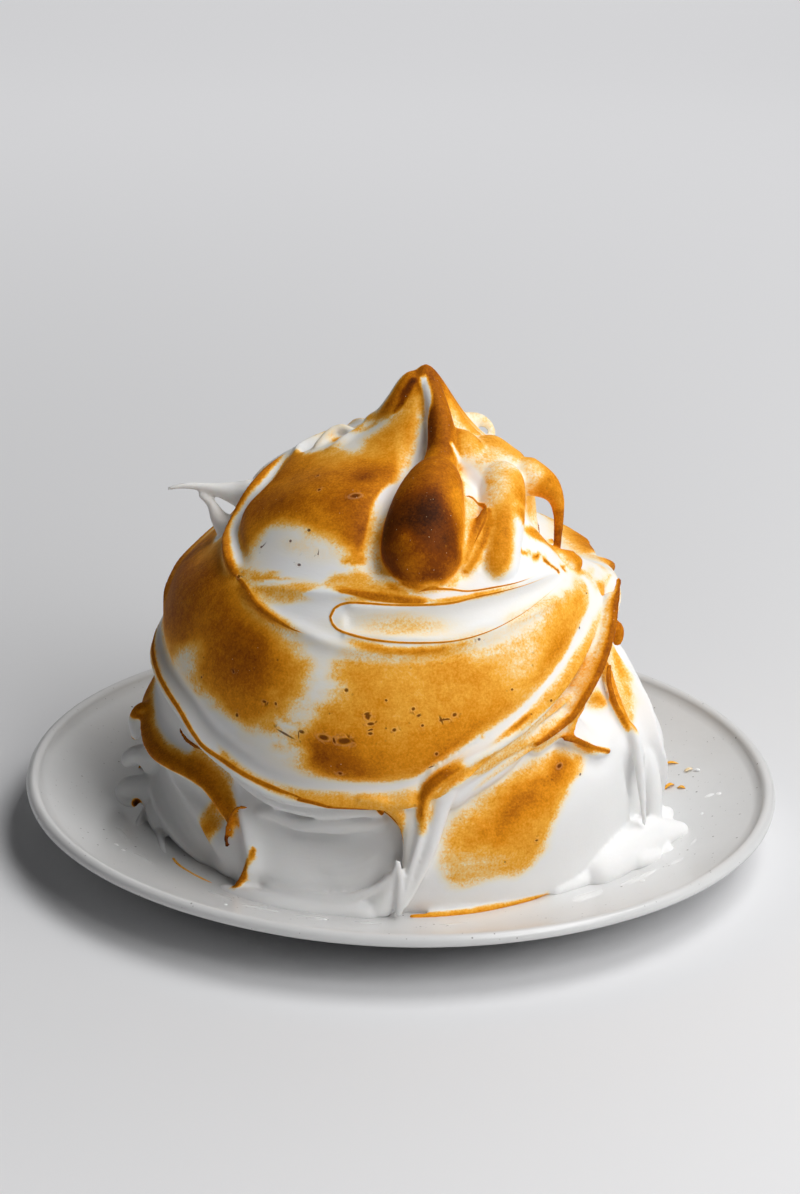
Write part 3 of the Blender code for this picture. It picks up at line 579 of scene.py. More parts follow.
    "dab_mid": [(-86, -12, 27, 8), (-93, -13.4, 30, 4), (-97.4, -11, 27.4, 3.2), (-99.4, -10.4, 24, 2)],
    "dab_high": [
        (-85, -6, 40, 8), (-92.6, -7, 44, 3.6), (-95, -8, 40.6, 3.2), (-95.2, -10, 36.6, 2.2),
        (-96.6, -10, 34.6, 1.4),
    ],
    "dab_foot": [(-80, -28, 10, 9), (-87, -23, 13, 5), (-90.6, -21, 14, 3)],
    "film_one": [
        (-88, -4, 8, 4), (-90.8, -14.4, 8, 2.4), (-93.2, -24, 7.6, 1.6), (-94, -30, 7.4, 1.1),
        (-93.4, -36.3, 7.2, 0.9), (-91.4, -43.1, 7, 0.8), (-89.6, -47.3, 7, 0.6),
    ],
    "film_two": [
        (-88, -9.2, 9, 4), (-87, -22.8, 8, 2.4), (-84.6, -34, 7.4, 1.5), (-83, -44, 7.2, 1.3),
        (-80.2, -52, 7, 1),
    ],
    "edge_left": [
        (-79, -51, 7.6, 0.8), (-76.4, -57.4, 7.9, 0.9), (-71.8, -63.4, 7.9, 0.9), (-67.6, -67.8, 7.9, 0.9),
        (-63, -72, 7.6, 0.8),
    ],
    "foot_root": [(6, -85.6, 8.4, 2.8), (14, -85.6, 8.6, 3.4), (24, -83, 8.8, 3.2), (33, -78.6, 8.8, 3)],
    "splash_back": [(-20, 88, 9, 6), (-4, 94, 8, 5), (12, 96, 8, 3)],
}


def set_in(stations, depth, swell, drop=0.0):
    """A strand moved towards the dome's axis, made thicker and lowered."""
    moved = []
    for x, y, z, radius in stations:
        keep = 1.0 - depth / math.hypot(x, y)
        moved.append((x * keep, y * keep, z - 0.2 * depth - drop, radius + swell))
    return moved


CURLS["fin_web"] = set_in(CURLS["fin_blade"][1:10], 2.4, 0.5)
CURLS["fin_root"] = set_in(CURLS["fin_blade"][2:9], 5.4, 1.3)
CURLS["drip_root"] = set_in(CURLS["drip_right"][2:12], 2.6, 0.9)
CURLS["slope_high"] = set_in(CURLS["drip_right"][:10], 4.9, 2.6, drop=4.0)
CURLS["slope_low"] = set_in(CURLS["drip_right"][:9], 8.4, 4.4, drop=9.0)
CURLS["fin_slope"] = set_in(CURLS["fin_blade"][6:], 4.4, 2.4, drop=2.5)


# ---------------------------------------------------------------- meshes

def evaluated_mesh(obj):
    """A new mesh of an object as its modifiers leave it."""
    graph = bpy.context.evaluated_depsgraph_get()
    return bpy.data.meshes.new_from_object(obj.evaluated_get(graph), depsgraph=graph)


def new_object(name, data):
    """An object for some data, in the scene."""
    made = bpy.data.objects.new(name, data)
    bpy.context.scene.collection.objects.link(made)
    return made


def only(obj):
    """Makes one object the selected and active one."""
    bpy.ops.object.select_all(action="DESELECT")
    obj.select_set(True)
    bpy.context.view_layer.objects.active = obj


def smooth_out(obj, name, rounds):
    """Adds a modifier that evens a surface out."""
    smooth = obj.modifiers.new(name, "SMOOTH")
    smooth.factor = SMOOTHING
    smooth.iterations = rounds


def apply_modifiers(obj):
    """Applies an object's modifiers from first to last."""
    only(obj)
    for name in [modifier.name for modifier in obj.modifiers]:
        bpy.ops.object.modifier_apply(modifier=name)


def read_points(mesh):
    """A mesh's vertices as rows of x, y, z."""
    flat = np.empty(len(mesh.vertices) * 3)
    mesh.vertices.foreach_get("co", flat)
    return flat.reshape(-1, 3)


def curl(name, stations):
    """A tapering round strand through (x, y, z, radius) stations, with rounded ends."""
    rows = smooth_line(stations, steps=16) * MM
    travelled = np.concatenate([[0.0], np.cumsum(np.linalg.norm(np.diff(rows[:, :3], axis=0), axis=1))])
    curve = bpy.data.curves.new(name, "CURVE")
    curve.dimensions = "3D"
    curve.bevel_depth = 1.0
    curve.bevel_resolution = CURL_ROUNDNESS
    curve.use_fill_caps = True
    spline = curve.splines.new("POLY")
    spline.points.add(len(rows) - 1)
    for point, row, start in zip(spline.points, rows, travelled):
        end_gap = min(start, travelled[-1] - start)
        rounding = math.sqrt(max(CURL_TIP, 1.0 - max(0.0, 1.0 - end_gap / row[3]) ** 2))
        point.co = (*row[:3], 1.0)
        point.radius = row[3] * rounding
    line = new_object(name + "_line", curve)
    mesh = evaluated_mesh(line)
    bpy.data.objects.remove(line)
    return mesh


def worked_dome():
    """The dome with every mark of the spatula on it."""
    bpy.ops.object.select_all(action="DESELECT")
    bpy.ops.mesh.primitive_ico_sphere_add(subdivisions=DOME_SUBDIVISIONS, radius=1.0)
    dome = bpy.context.object
    directions = read_points(dome.data)
    directions /= np.linalg.norm(directions, axis=1, keepdims=True)
    skin = Sculpt(directions)
    skin.wobble(0.8, 70.0, seed=3)
    work_form(skin)
    work_back(skin)
    work_front(skin)
    dome.data.vertices.foreach_set("co", skin.points().ravel())
    smooth_out(dome, "Ease creases", CREASE_EASE)
    apply_modifiers(dome)
    return dome


def melted_meringue():
    """Dome, bulb, curls and splashes melted into one skin."""
    dome = worked_dome()
    shape = bmesh.new()
    shape.from_mesh(dome.data)
    for name, stations in CURLS.items():
        shape.from_mesh(curl(name, stations))
    shape.to_mesh(dome.data)
    shape.free()
    melt = dome.modifiers.new("Melt together", "REMESH")
    melt.mode = "VOXEL"
    melt.voxel_size = VOXEL
    melt.use_smooth_shade = True
    smooth_out(dome, "Soften", SKIN_EASE)
    apply_modifiers(dome)
    trim_below(dome, WELL_TOP - HIDDEN_DEPTH)
    fewer = dome.modifiers.new("Fewer faces", "DECIMATE")
    dome.data.calc_loop_triangles()
    fewer.ratio = min(1.0, MERINGUE_TRIANGLES / len(dome.data.loop_triangles))
    apply_modifiers(dome)
    dome.name = dome.data.name = "toasted_meringue"
    return dome


def trim_below(obj, height):
    """Cuts off what lies hidden below a height and closes the cut."""
    only(obj)
    bpy.ops.object.mode_set(mode="EDIT")
    bpy.ops.mesh.select_all(action="SELECT")
    bpy.ops.mesh.bisect(plane_co=(0, 0, height), plane_no=(0, 0, -1), use_fill=True, clear_outer=True)
    bpy.ops.object.mode_set(mode="OBJECT")


# ---------------------------------------------------------------- toasting

LINE_LAYERS = 3
LINE_REACH = 4.5
COMBED_LEVEL = 0.16
COMBED_SAG = 0.0035
STRAY_WAVES = 9
CREST_ROUNDS, CREST_STEP = 110, 0.6
CREST_DARKENS, CREST_HEIGHT = 0.10, 0.8
CREASE_PALES, CREASE_FROM, CREASE_SPAN = 0.25, 0.3, 0.9
BUBBLE_DEPTH = 5.0


def within(far, soft):
    """1 inside a reach of 1 and 0 outside it, with a soft edge."""
    return smooth_step((1.0 + soft / 2.0 - far) / soft)


class Toast(DomeSkin):
    """How dark the torch has left each vertex, from 0, white, to 1, nearly black."""

    def __init__(self, mesh):
        self.points = read_points(mesh) / MM
        normals = np.empty(len(mesh.vertices) * 3)
        mesh.vertex_normals.foreach_get("vector", normals)
        self.facing = normals.reshape(-1, 3)
        centre = np.array([0.0, 0.0, RING_HEIGHT / MM])
        lowered = self.points.copy()
        rough = self.points - centre
        rough_rise = np.degrees(np.arctan2(rough[:, 2], np.hypot(rough[:, 0], rough[:, 1])))
        lowered[:, 2] -= peak_pull(self.points, rough_rise)
        towards = lowered - centre
        towards /= np.linalg.norm(towards, axis=1, keepdims=True)
        super().__init__(towards)
        self.tone = np.zeros(len(towards))
        self.line_across = np.full((len(towards), LINE_LAYERS), LINE_REACH)
        self.line_strength = np.zeros((len(towards), LINE_LAYERS))
        self.line_gap = np.full(self.line_strength.shape, np.inf)
        self.pit = np.zeros((len(towards), 3))
        self.relief = self.crests(mesh)
        drawn = self.points * (COMBED_LEVEL, COMBED_LEVEL, 1.0)
        drawn[:, 2] -= COMBED_SAG * self.points[:, 0] * np.abs(self.points[:, 0])
        self.stray = self.waves(self.points, 17.0, seed=5) + 0.5 * self.waves(self.points, 6.5, seed=6)
        self.combed = self.waves(drawn, 4.2, seed=7) + 0.6 * self.waves(drawn, 2.4, seed=8)

    @staticmethod
    def waves(places, pitch, seed):
        """Uneven waves over some places, of about a pitch in millimetres, from about -1 to 1."""
        return wave_sum(places, pitch, STRAY_WAVES, seed) / math.sqrt(STRAY_WAVES)

    def crests(self, mesh):
        """How far each vertex stands out of its surroundings, in millimetres: crests are positive and
        creases negative."""
        ends = np.empty(len(mesh.edges) * 2, dtype=int)
        mesh.edges.foreach_get("vertices", ends)
        first, second = ends.reshape(-1, 2).T
        count = np.bincount(first, minlength=len(self.points))
        count += np.bincount(second, minlength=len(self.points))
        eased = self.points.copy()
        for _ in range(CREST_ROUNDS):
            total = np.zeros_like(eased)
            for axis in range(3):
                total[:, axis] = np.bincount(first, eased[second, axis], len(eased)) + np.bincount(
                    second, eased[first, axis], len(eased)
                )
            eased += CREST_STEP * (total / np.maximum(count, 1)[:, None] - eased)
        return ((self.points - eased) * self.facing).sum(axis=1)

    def paint(self, weight, tone):
        """Moves the tone towards a value by a weight."""
        self.tone += (tone - self.tone) * np.clip(weight, 0.0, 1.0)

    def brush(self, path, width, tone, ends=(0.1, 0.1), strength=1.0, offset=0.0, soft=1.0):
        """A stroke along a path, moved across it by an offset."""
        share, across, _ = self.follow(path)
        away = np.abs(across - offset) / width
        self.paint(strength * self.fade(share, ends) * within(away, soft), tone)

    def patch(self, centre, radii, tone, turn=0.0, soft=0.8, strength=1.0):
        """An oval patch with a soft edge."""
        far = np.minimum(self.oval(centre, radii, turn), 9.0) + 1.6 * self.stray / (radii[0] + radii[1])
        self.paint(strength * within(far, soft), tone)

    def spot(self, centre, radius, tone, soft):
        """A round spot at (x, y, z) in millimetres."""
        far = np.linalg.norm(self.points - np.array(centre, float), axis=1) / radius
        self.paint(within(far, soft), tone)

    def strand(self, stations, tone, margin=0.6, soft=1.6, strength=1.0, turned=None):
        """Everything that lies on a strand of (x, y, z, radius) stations, or within a margin of it, and
        only what is turned a certain way where that is given."""
        line = smooth_line(stations, steps=12)
        reach = line[:, 3].max() + margin + soft
        inside = self.points > line[:, :3].min(axis=0) - reach
        inside &= self.points < line[:, :3].max(axis=0) + reach
        close = np.flatnonzero(inside.all(axis=1))
        away = np.full(len(close), 99.0)
        for x, y, z, radius in line:
            away = np.minimum(away, np.linalg.norm(self.points[close] - (x, y, z), axis=1) - radius)
        weight = np.zeros(len(self.tone))
        weight[close] = strength * smooth_step((margin + soft - away) / soft)
        if turned is not None:
            weight = weight * smooth_step((self.facing @ np.array(turned, float) - 0.3) / 0.4)
        self.paint(weight, tone)

    def line(self, layer, path, width, ends=(0.1, 0.1), offset=0.0):
        """A thin crisp stroke that tapers at its ends. What is kept is how far each vertex lies across
        it, in half widths, so that its edges stay sharp whatever the size of the faces. Lines that come
        near each other lie in different layers."""
        share, across, _ = self.follow(path)
        taper = self.fade(share, ends)
        away = across - offset
        strength = smooth_step(taper / 0.3) * smooth_step((LINE_REACH - np.abs(away)) / 1.5)
        gap = np.abs(away)
        unlined = (strength == 0.0) & (self.line_strength[:, layer] == 0.0)
        mine = (strength > self.line_strength[:, layer]) | (unlined & (gap < self.line_gap[:, layer]))
        self.line_gap[mine, layer] = gap[mine]
        self.line_across[mine, layer] = (away / (width * np.maximum(taper, 0.2)))[mine]
        self.line_strength[mine, layer] = strength[mine]

    def pits(self, places):
        """Burst bubbles at (bearing, rise, length, height, turn). What is kept is how far each vertex
        lies from the nearest one, level and uphill, in half sizes, and whether it is near one."""
        nearest = np.zeros(len(self.tone))
        for bearing, rise, length, height, turn in places:
            middle, normal, level, uphill = dome_place(bearing, rise)
            gap = self.base - middle
            angle = math.radians(turn)
            along = gap @ (level * math.cos(angle) + uphill * math.sin(angle))
            up = gap @ (uphill * math.cos(angle) - level * math.sin(angle))
            outside = np.maximum(np.abs(along) - 0.5 * length, 0.0)
            above = np.maximum(np.abs(up) - 0.5 * height, 0.0)
            near = smooth_step((1.9 - np.hypot(outside, above)) / 0.7)
            near *= np.abs(gap @ normal) < BUBBLE_DEPTH
            mine = near > nearest
            nearest[mine] = near[mine]
            self.pit[mine, 0] = along[mine] * 2.0 / length
            self.pit[mine, 1] = up[mine] * 2.0 / height
            self.pit[mine, 2] = near[mine]

    def area(self, outline, tone, soft=3.0, strength=1.0, stray=0.8, combed=0.0):
        """The inside of a closed outline of (bearing, rise). Its edge is soft over a distance, and strays
        by another and by combed streaks."""
        places = smooth_line([*outline, outline[0]], steps=4)
        towards = direction(places[:, 0], places[:, 1])
        middle = towards.mean(axis=0, keepdims=True)
        middle /= np.linalg.norm(middle)
        normal = dome_normals(middle)[0]
        sheet = np.stack(level_and_uphill(normal), axis=1)
        line = (on_dome(towards) / MM) @ sheet
        near = np.flatnonzero(self.normal @ normal > 0.1)
        flat = self.base[near] @ sheet
        apart = np.full(len(flat), np.inf)
        inside = np.zeros(len(flat), dtype=bool)
        for start, end in zip(line, np.roll(line, -1, axis=0)):
            leg = end - start
            gap = flat - start
            along = np.clip(gap @ leg / max(leg @ leg, 1e-9), 0.0, 1.0)
            apart = np.minimum(apart, np.hypot(*(gap - along[:, None] * leg).T))
            if abs(leg[1]) > 1e-9:
                crossing = (flat[:, 1] >= min(start[1], end[1])) & (flat[:, 1] < max(start[1], end[1]))
                inside ^= crossing & (gap[:, 0] < gap[:, 1] * leg[0] / leg[1])
        weight = np.zeros(len(self.tone))
        inward = np.where(inside, apart, -apart) + stray * self.stray[near] + combed * self.combed[near]
        weight[near] = smooth_step(inward / soft + 0.5)
        self.paint(strength * weight, tone)


LOBE_TOAST = [
    (-60, 43), (-70, 46), (-84, 51), (-91, 56), (-99, 59), (-101, 63), (-97, 67), (-90, 70.6), (-75, 73),
    (-58, 76.6), (-50, 79.4), (-42, 82), (-29, 84), (-7, 85.4), (20, 86), (26, 83), (19, 80), (9, 75.6),
    (0, 69), (-9, 63), (-13, 57), (-15, 52), (-19, 51.6), (-26, 52.4), (-33, 52.6), (-42, 54), (-48, 55),
    (-51.5, 52), (-53, 48), (-55, 44),
]
UPPER_GOLD = [
    (-22, 46.4), (-16, 48), (-11, 47.6), (-6, 45.8), (-1, 43.6), (4, 41.6), (-4, 41.4), (-14, 42),
    (-21, 42.6),
]
LEFT_STREAKS = [(-48, 40.4), (-39, 41.6), (-30, 43), (-26, 42), (-30, 39), (-36, 36.6), (-43, 37.4)]
BELLY_TOAST = [
    (-51, 38), (-41, 35), (-33, 33), (-23, 31), (-10, 31.4), (8, 32), (20, 33.4), (29, 36), (38, 38.6),
    (52, 40), (66, 41), (76, 40), (70, 37), (61, 34.6), (55, 31), (48.6, 26.6), (41, 22), (33, 17),
    (21, 10.6), (12, 6.6), (2, 4), (-8, 3.6), (-17, 5.4), (-26, 8.6), (-36, 11.6), (-46, 14), (-56, 17),
    (-66, 22), (-76, 23), (-90, 22), (-106, 26), (-112, 36), (-104, 46), (-92, 48), (-78, 44), (-64, 41.5),
]
BELLY_BREAK = [
    (-24, 33), (-14, 32), (-15, 29.5), (-17, 26), (-16, 22.6), (-20, 19), (-21, 15), (-23, 12), (-21, 9),
    (-24, 6), (-32, 7), (-33, 10), (-28, 14), (-24, 18), (-22, 22), (-23, 28),
]
BELLY_PALE = [(16, 33), (24, 35), (33, 37), (40, 36.6), (34, 33), (27, 30.6), (18, 30.4)]
LIP_TOAST = [
    (-42, 3.8), (-36, 2), (-31, 0.9), (-24, 0.4), (-20, 0.4), (-14, 1), (-9, 1.3), (-2, 2), (4, 3.8),
    (8, 5.8), (11, 6.8), (10, 4), (7, 0.6), (5.4, -2), (3, -2), (2, -4.4), (1.2, -8.4), (-0.4, -8.6),
    (-2, -6.4), (-4, -4.8), (-6, -2.6), (-9, -2), (-14, -2.2), (-18, -1.8), (-25, -1.6), (-31, -0.6),
    (-36, 0.6), (-42, 2.4),
]
FACE_TOAST = [
    (46, 5), (46.6, 2), (40, -2.6), (36, -8), (32, -14), (27.6, -17), (20.6, -18.8), (14, -19.6), (10, -18),
    (9, -13), (10.6, -7), (14.4, -4), (20, 0.4), (27, 3.2), (35, 5.4),
]
FIN_FACE = [
    (13, 8.6), (20, 12.4), (26, 15.8), (32, 19.2), (38, 22.6), (46, 26.8), (53, 31), (60, 34), (68, 36.8),
    (79, 36), (66, 31.6), (60, 27.6), (55, 23.6), (49, 18.6), (42, 15), (36, 11.8), (29, 9), (22, 6.4),
    (15, 4.4),
]
FIN_CHANNEL = [
    (8, 6.6), (17, 11), (23, 14.6), (29, 17.8), (35, 21.4), (43, 25.8), (50, 30.4), (57, 33.4), (67, 36.4),
]
SIDE_TOAST = [
    (66, 22), (65, 17), (63.5, 13), (62.5, 9), (62, 6), (63, 3), (66, 2), (71, 3), (74, 7), (79, 12),
    (84, 18), (86, 24), (78, 26),
]
RIGHT_LOBE_TOAST = [
    (32, 65), (38, 65), (41, 61), (38.6, 57), (36, 54), (33, 50), (31, 47), (28, 45), (25, 44.6),
    (23.4, 46.4), (22, 47.6), (19, 45.6), (13, 45.4), (13.6, 48), (16.6, 50.4), (21, 52.6), (25, 57),
    (27.6, 61),
]
POCKET_TOAST = [
    (23.6, 63.4), (29, 62.6), (30, 60), (27, 57), (23.6, 54.4), (20.4, 52), (18.6, 54), (20, 57.6),
    (21.6, 60.6),
]
POCKET_LINE = [(24, 63.6), (28.6, 63), (30.8, 60.6), (28.6, 57.4), (24.6, 54.6), (20.6, 51.6)]
UNDER_BULB = [
    (-9, 43.4), (-3, 42.7), (4, 42.7), (12, 43.3), (18, 43.6), (24, 43.8), (31, 43.2), (30, 40), (20, 37.4),
    (10, 36), (0, 35.6), (-10, 36), (-16, 38), (-14, 41.6),
]
TONGUE_EDGE = [
    (58, 44), (46, 43.4), (36, 42.6), (27, 42), (19, 41.4), (12, 40.6), (5, 40.4), (-4, 40.4), (-10, 40.4),
    (-16, 40), (-18.6, 39), (-19.6, 37.4), (-19, 35.8), (-16.6, 34.4), (-11, 33.4), (-4, 32.9), (4, 32.8),
    (12, 33), (20, 34.2), (29, 36.4), (40, 39.4), (50, 41.6), (60, 43),
]
LEDGE_LINE = [(-20, 42), (-16, 42.2), (-11, 41.8), (-5, 41.4), (1, 41.2), (6, 41)]
BULB_LINE = [(2, 43), (7, 43.8), (12, 43.8), (17, 43), (24, 43), (32, 43.2), (41, 44)]
FOLD_LINE = [(-52, 39.6), (-46, 38), (-40, 35.6), (-33, 33.8), (-28, 32.8), (-23, 32.4)]
RIM_BROWN = [
    (-97, 17.4), (-82, 14.4), (-70, 12), (-58, 8.6), (-51, 5), (-47, 3.2), (-41, 2), (-34, 0.4),
    (-26, -0.8), (-18, -1.2),
]
LIP_LINE = [
    (-34, -0.2), (-25, -1.4), (-18, -1.6), (-14, -2), (-8, -1.8), (-6, -2.4), (-4, -4.6), (-2, -6.2),
    (0, -8.4), (0.6, -10),
]
LEFT_CHANNEL = [
    (4.2, -5, 169, 0.9), (5.8, -11, 163, 1.4), (5, -16, 152.6, 1.6), (3.4, -22, 146.6, 1.8),
    (-1.4, -33, 141.4, 2), (-7.4, -40, 137.6, 2.3), (-10.2, -48, 131.8, 2.6), (-11.2, -55, 124.6, 3),
    (-8.6, -62, 119.4, 3), (-4, -67, 116.4, 2.4), (3, -69.6, 113.6, 2),
]
RIGHT_CHANNEL = [
    (14, -26, 152.4, 0.5), (16, -28, 149.2, 1.0), (18.4, -29, 146.4, 1.5), (21.4, -31, 143.8, 2),
    (23.4, -36, 141, 2.3), (22.4, -40, 140, 2.4), (20.6, -46, 137, 1.6), (20, -55, 131, 1),
    (16.6, -62, 124, 1.3), (14.4, -65, 118.6, 1.8), (9, -69, 113.6, 1.6),
]
# Bearing, rise, length, height and turn of the burst bubbles that show.
PITS = [
    (-32, 17, 1.8, 1.0, 0), (-29, 17.2, 1.0, 1.2, 40), (-39, 12.4, 1.4, 1.4, 0), (-42, 21, 1.0, 0.9, 0),
    (-52, 17, 0.9, 0.8, 0), (-25.6, 11.4, 8.6, 0.9, -16), (-22, 12.6, 2.4, 1.3, -5),
    (-17, 12.2, 3.6, 1.7, -4), (-12.4, 12, 5.0, 2.2, 8), (-8, 18, 2.2, 1.0, 20), (-7, 16, 2.4, 1.0, 8),
    (-7, 14, 1.7, 1.0, 5), (-13, 22.4, 1.5, 1.4, 0), (-4, 21, 1.0, 0.9, 0), (2, 19.4, 1.3, 1.2, 30),
    (11, 18, 1.6, 1.3, 30), (8, 17, 1.2, 1.1, 0), (-2, 15, 1.4, 1.1, 20), (4, 16, 1.0, 0.9, 0),
    (7, 10, 1.2, 1.2, 0), (6, 7, 2.2, 0.6, 14), (-13, 5, 1.5, 1.1, 0), (-40, 62, 1.1, 1.1, 0),
    (-34, 53, 1.2, 1.0, 0), (-39, 50, 1.1, 1.0, 0), (-28, 49, 1.0, 0.8, 0), (-49, 47, 1.1, 1.0, 0),
    (-33, 46, 1.5, 1.1, 0), (-23, 62.5, 3.4, 1.8, 30), (-51, 66, 1.1, 1.1, 0), (38, 2, 2.2, 1.2, 20),
    (43, -0.8, 1.2, 0.8, 30), (35, 18, 1.0, 1.0, 0), (25, 22, 1.0, 0.8, 0), (59, 37, 0.9, 0.9, 0),
    (18, 33, 1.1, 0.9, 0), (50, 31, 1.0, 1.0, 0), (-51, 39.6, 1.6, 1.4, 0), (30, -12, 1.4, 0.8, 0),
]


# Rows of the loops below: a patch is its place, radii, tone, turn, softness and strength, a spot its
# centre, radius, tone and softness, and a strand its name, tone, margin and softness.

def toast_front(skin):
    """The browning seen from the front: broad soft golden areas, then white valleys, then thin crests."""
    skin.area(
        [
            (10, 84), (40, 87), (90, 84), (97, 68), (82, 56), (62, 54), (46, 58), (38, 64), (32, 70),
            (22, 76),
        ],
        0.42, soft=7.0,
    )
    skin.area(LOBE_TOAST, 0.47, soft=8.5, stray=1.2, combed=0.3)
    for patch in [
        ((-18, 73), (10, 9), 0.56, 10, 1.9), ((-72, 60), (24, 14), 0.55, 10, 1.4),
        ((-45, 62), (18, 10), 0.52, 10, 1.6), ((-20, 62), (9, 15), 0.57, 10, 1.6),
        ((-24, 68), (3.4, 2.4), 0.7, 20, 1.6), ((-57, 57), (13, 6), 0.63, 5, 1.9),
        ((-24, 61), (6, 6), 0.6, 0, 1.9), ((-24, 80), (24, 4.6), 0.53, 6, 1.7),
        ((-34, 49.4), (9, 3), 0.14, 0, 1.8), ((-66, 77), (6, 3), 0.12, 0, 1.6),
    ]:
        skin.patch(*patch)
    skin.brush(
        [(-16, 84), (-9, 78), (-5, 73), (-9, 67), (-14, 61), (-17, 55)],
        1.6, 0.43, ends=(0.2, 0.2), soft=1.7,
    )
    skin.brush([(-22, 48.4), (-16, 49), (-10, 51)], 1.2, 0.46, ends=(0.3, 0.2), soft=1.4)
    skin.brush([(-20, 49.6), (-15, 50.2), (-12, 51.4)], 0.6, 0.4, ends=(0.3, 0.2), soft=1.2)
    skin.area(BELLY_TOAST, 0.38, soft=12.0, stray=1.5, combed=0.7)
    for patch in [
        ((-74, 32), (34, 26), 0.58, -10, 1.4), ((-41, 24), (16, 14), 0.61, -30, 1.3),
        ((-38, 15), (11, 5), 0.5, -15, 1.9, 0.9), ((-96, 38), (20, 16), 0.6, 0, 1.4),
        ((-12, 8), (20, 7), 0.53, -4, 1.8), ((-15, 7.4), (15, 3.6), 0.62, -12, 1.9),
        ((14, 12), (20, 8), 0.5, 16, 1.8), ((40, 26), (12, 6), 0.47, 35, 1.8),
    ]:
        skin.patch(*patch)
    skin.area(BELLY_BREAK, 0.05, soft=13.0, strength=0.94, stray=2.2, combed=1.2)
    skin.area(BELLY_PALE, 0.12, soft=9.0, strength=0.8, stray=1.0, combed=1.0)
    skin.patch((30, 29), (9, 5), 0.25, turn=40, soft=1.9)
    skin.patch((-60, 17), (5, 11), 0.12, turn=-40, soft=1.4, strength=0.9)
    skin.brush([(-17, 26.8), (-12, 27), (-6.6, 27.8)], 0.7, 0.36, ends=(0.2, 0.3), soft=1.4)
    skin.brush([(-29, 9.6), (-25.6, 9.2), (-22, 8.8)], 0.8, 0.05, ends=(0.2, 0.3), soft=1.2)
    skin.brush([(-29, 13.6), (-25.6, 13.2), (-22, 13)], 0.7, 0.08, ends=(0.2, 0.3), soft=1.2)
    # Border of the upper left lobe: a brown crest outside a thin white line.
    skin.brush(LOBE_EDGE, 1.3, 0.04, offset=3.4, ends=(0.15, 0.1), soft=0.8)
    skin.brush(LOBE_EDGE, 1.6, 0.54, offset=0.2, ends=(0.15, 0.03), soft=1.3)
    # Valley inside the belly's rim, and the rim.
    skin.brush(BELLY_RIM[:7], 1.2, 0.03, offset=3.2, ends=(0.02, 0.0), soft=1.6)
    skin.brush(BELLY_RIM[6:11], 2.0, 0.03, offset=4.0, ends=(0.0, 0.0), soft=1.2)
    skin.brush(BELLY_RIM[10:], 1.7, 0.03, offset=3.7, ends=(0.0, 0.0), soft=1.2)
    skin.brush(RIM_BROWN, 0.6, 0.48, ends=(0.02, 0.1), soft=1.8)
    skin.area(LIP_TOAST, 0.35, soft=1.8, stray=0.15)
    skin.line(0, RIM_BROWN, 0.55, ends=(0.02, 0.15))
    skin.line(0, LIP_LINE, 0.5, ends=(0.2, 0.15))
    skin.line(0, FOLD_LINE, 0.7, ends=(0.05, 0.5))
    skin.line(0, LOBE_EDGE, 0.8, ends=(0.2, 0.03), offset=0.2)
    skin.line(0, BULB_LINE, 0.4, ends=(0.2, 0.4))
    skin.line(1, TONGUE_EDGE, 0.42, ends=(0.35, 0.42))
    skin.line(2, LEDGE_LINE, 0.8, ends=(0.15, 0.1))
    # Fin: a golden face with a brown crest, white inside.
    skin.strand(CURLS["fin_blade"], 0.4, margin=2.6, soft=2.2)
    skin.strand(CURLS["fin_web"], 0.38, margin=1.6, soft=2.0)
    skin.area(FIN_FACE, 0.34, soft=2.6, stray=0.4, combed=0.5)
    skin.brush([(19, 9.6), (27, 13), (35, 16.6), (42, 20.6)], 0.5, 0.12, ends=(0.3, 0.3), soft=1.4)
    skin.brush([(16, 8.4), (24, 11.4), (31, 13.6)], 0.4, 0.14, ends=(0.3, 0.3), soft=1.4)
    skin.brush(
        [(30, 9), (23, 5.6), (18, 2.6), (13.6, -2)],
        1.6, 0.05, ends=(0.4, 0.2), soft=1.8, strength=0.85,
    )
    skin.strand(CURLS["drip_right"][5:12], 0.4, margin=0.6, soft=2.2, strength=0.9)
    skin.strand(CURLS["drip_right"][11:13], 0.3, margin=-0.6, soft=2.0, strength=0.9)
    skin.strand(CURLS["drip_right"][1:12], 0.6, margin=-0.4, soft=1.8, turned=(-0.62, -0.62, 0.3))
    skin.brush(
        [(12.2, 6.6), (13.6, 8.4), (16.6, 9.8), (20.4, 11), (24.4, 12.5), (29, 14.2), (35, 16.2)],
        1.6, 0.06, ends=(0.15, 0.45), soft=1.3, strength=0.9,
    )
    skin.strand(CURLS["drip_mid"], 0.05, margin=0.0, soft=0.8, strength=0.8)
    skin.strand(CURLS["foot_edge"], 0.42, margin=-0.1, soft=0.7)
    skin.strand(CURLS["thread_one"], 0.3, margin=0.0, soft=1.0, strength=0.8)
    skin.strand(CURLS["thread_two"], 0.34, margin=0.0, soft=1.0, strength=0.8)
    skin.brush(FIN_CHANNEL, 1.0, 0.04, ends=(0.1, 0.2), soft=1.4)
    skin.brush(FIN_CHANNEL[5:], 2.0, 0.04, offset=-0.8, ends=(0.3, 0.1), soft=1.2)
    skin.strand(CURLS["fin_blade"], 0.62, margin=-0.2, soft=0.9, turned=(0.55, -0.75, 0.35))
    # Right face.
    skin.area(FACE_TOAST, 0.39, soft=6.5, stray=1.0, combed=0.3)
    for patch in [
        ((17, -15), (11, 4.4), 0.27, -4, 1.8), ((19, -3.4), (5, 2.6), 0.4, 35, 1.6),
        ((25, -4), (13, 6), 0.54, 25, 2.0), ((38, 1.6), (6, 3.6), 0.58, 40, 1.8),
    ]:
        skin.patch(*patch)
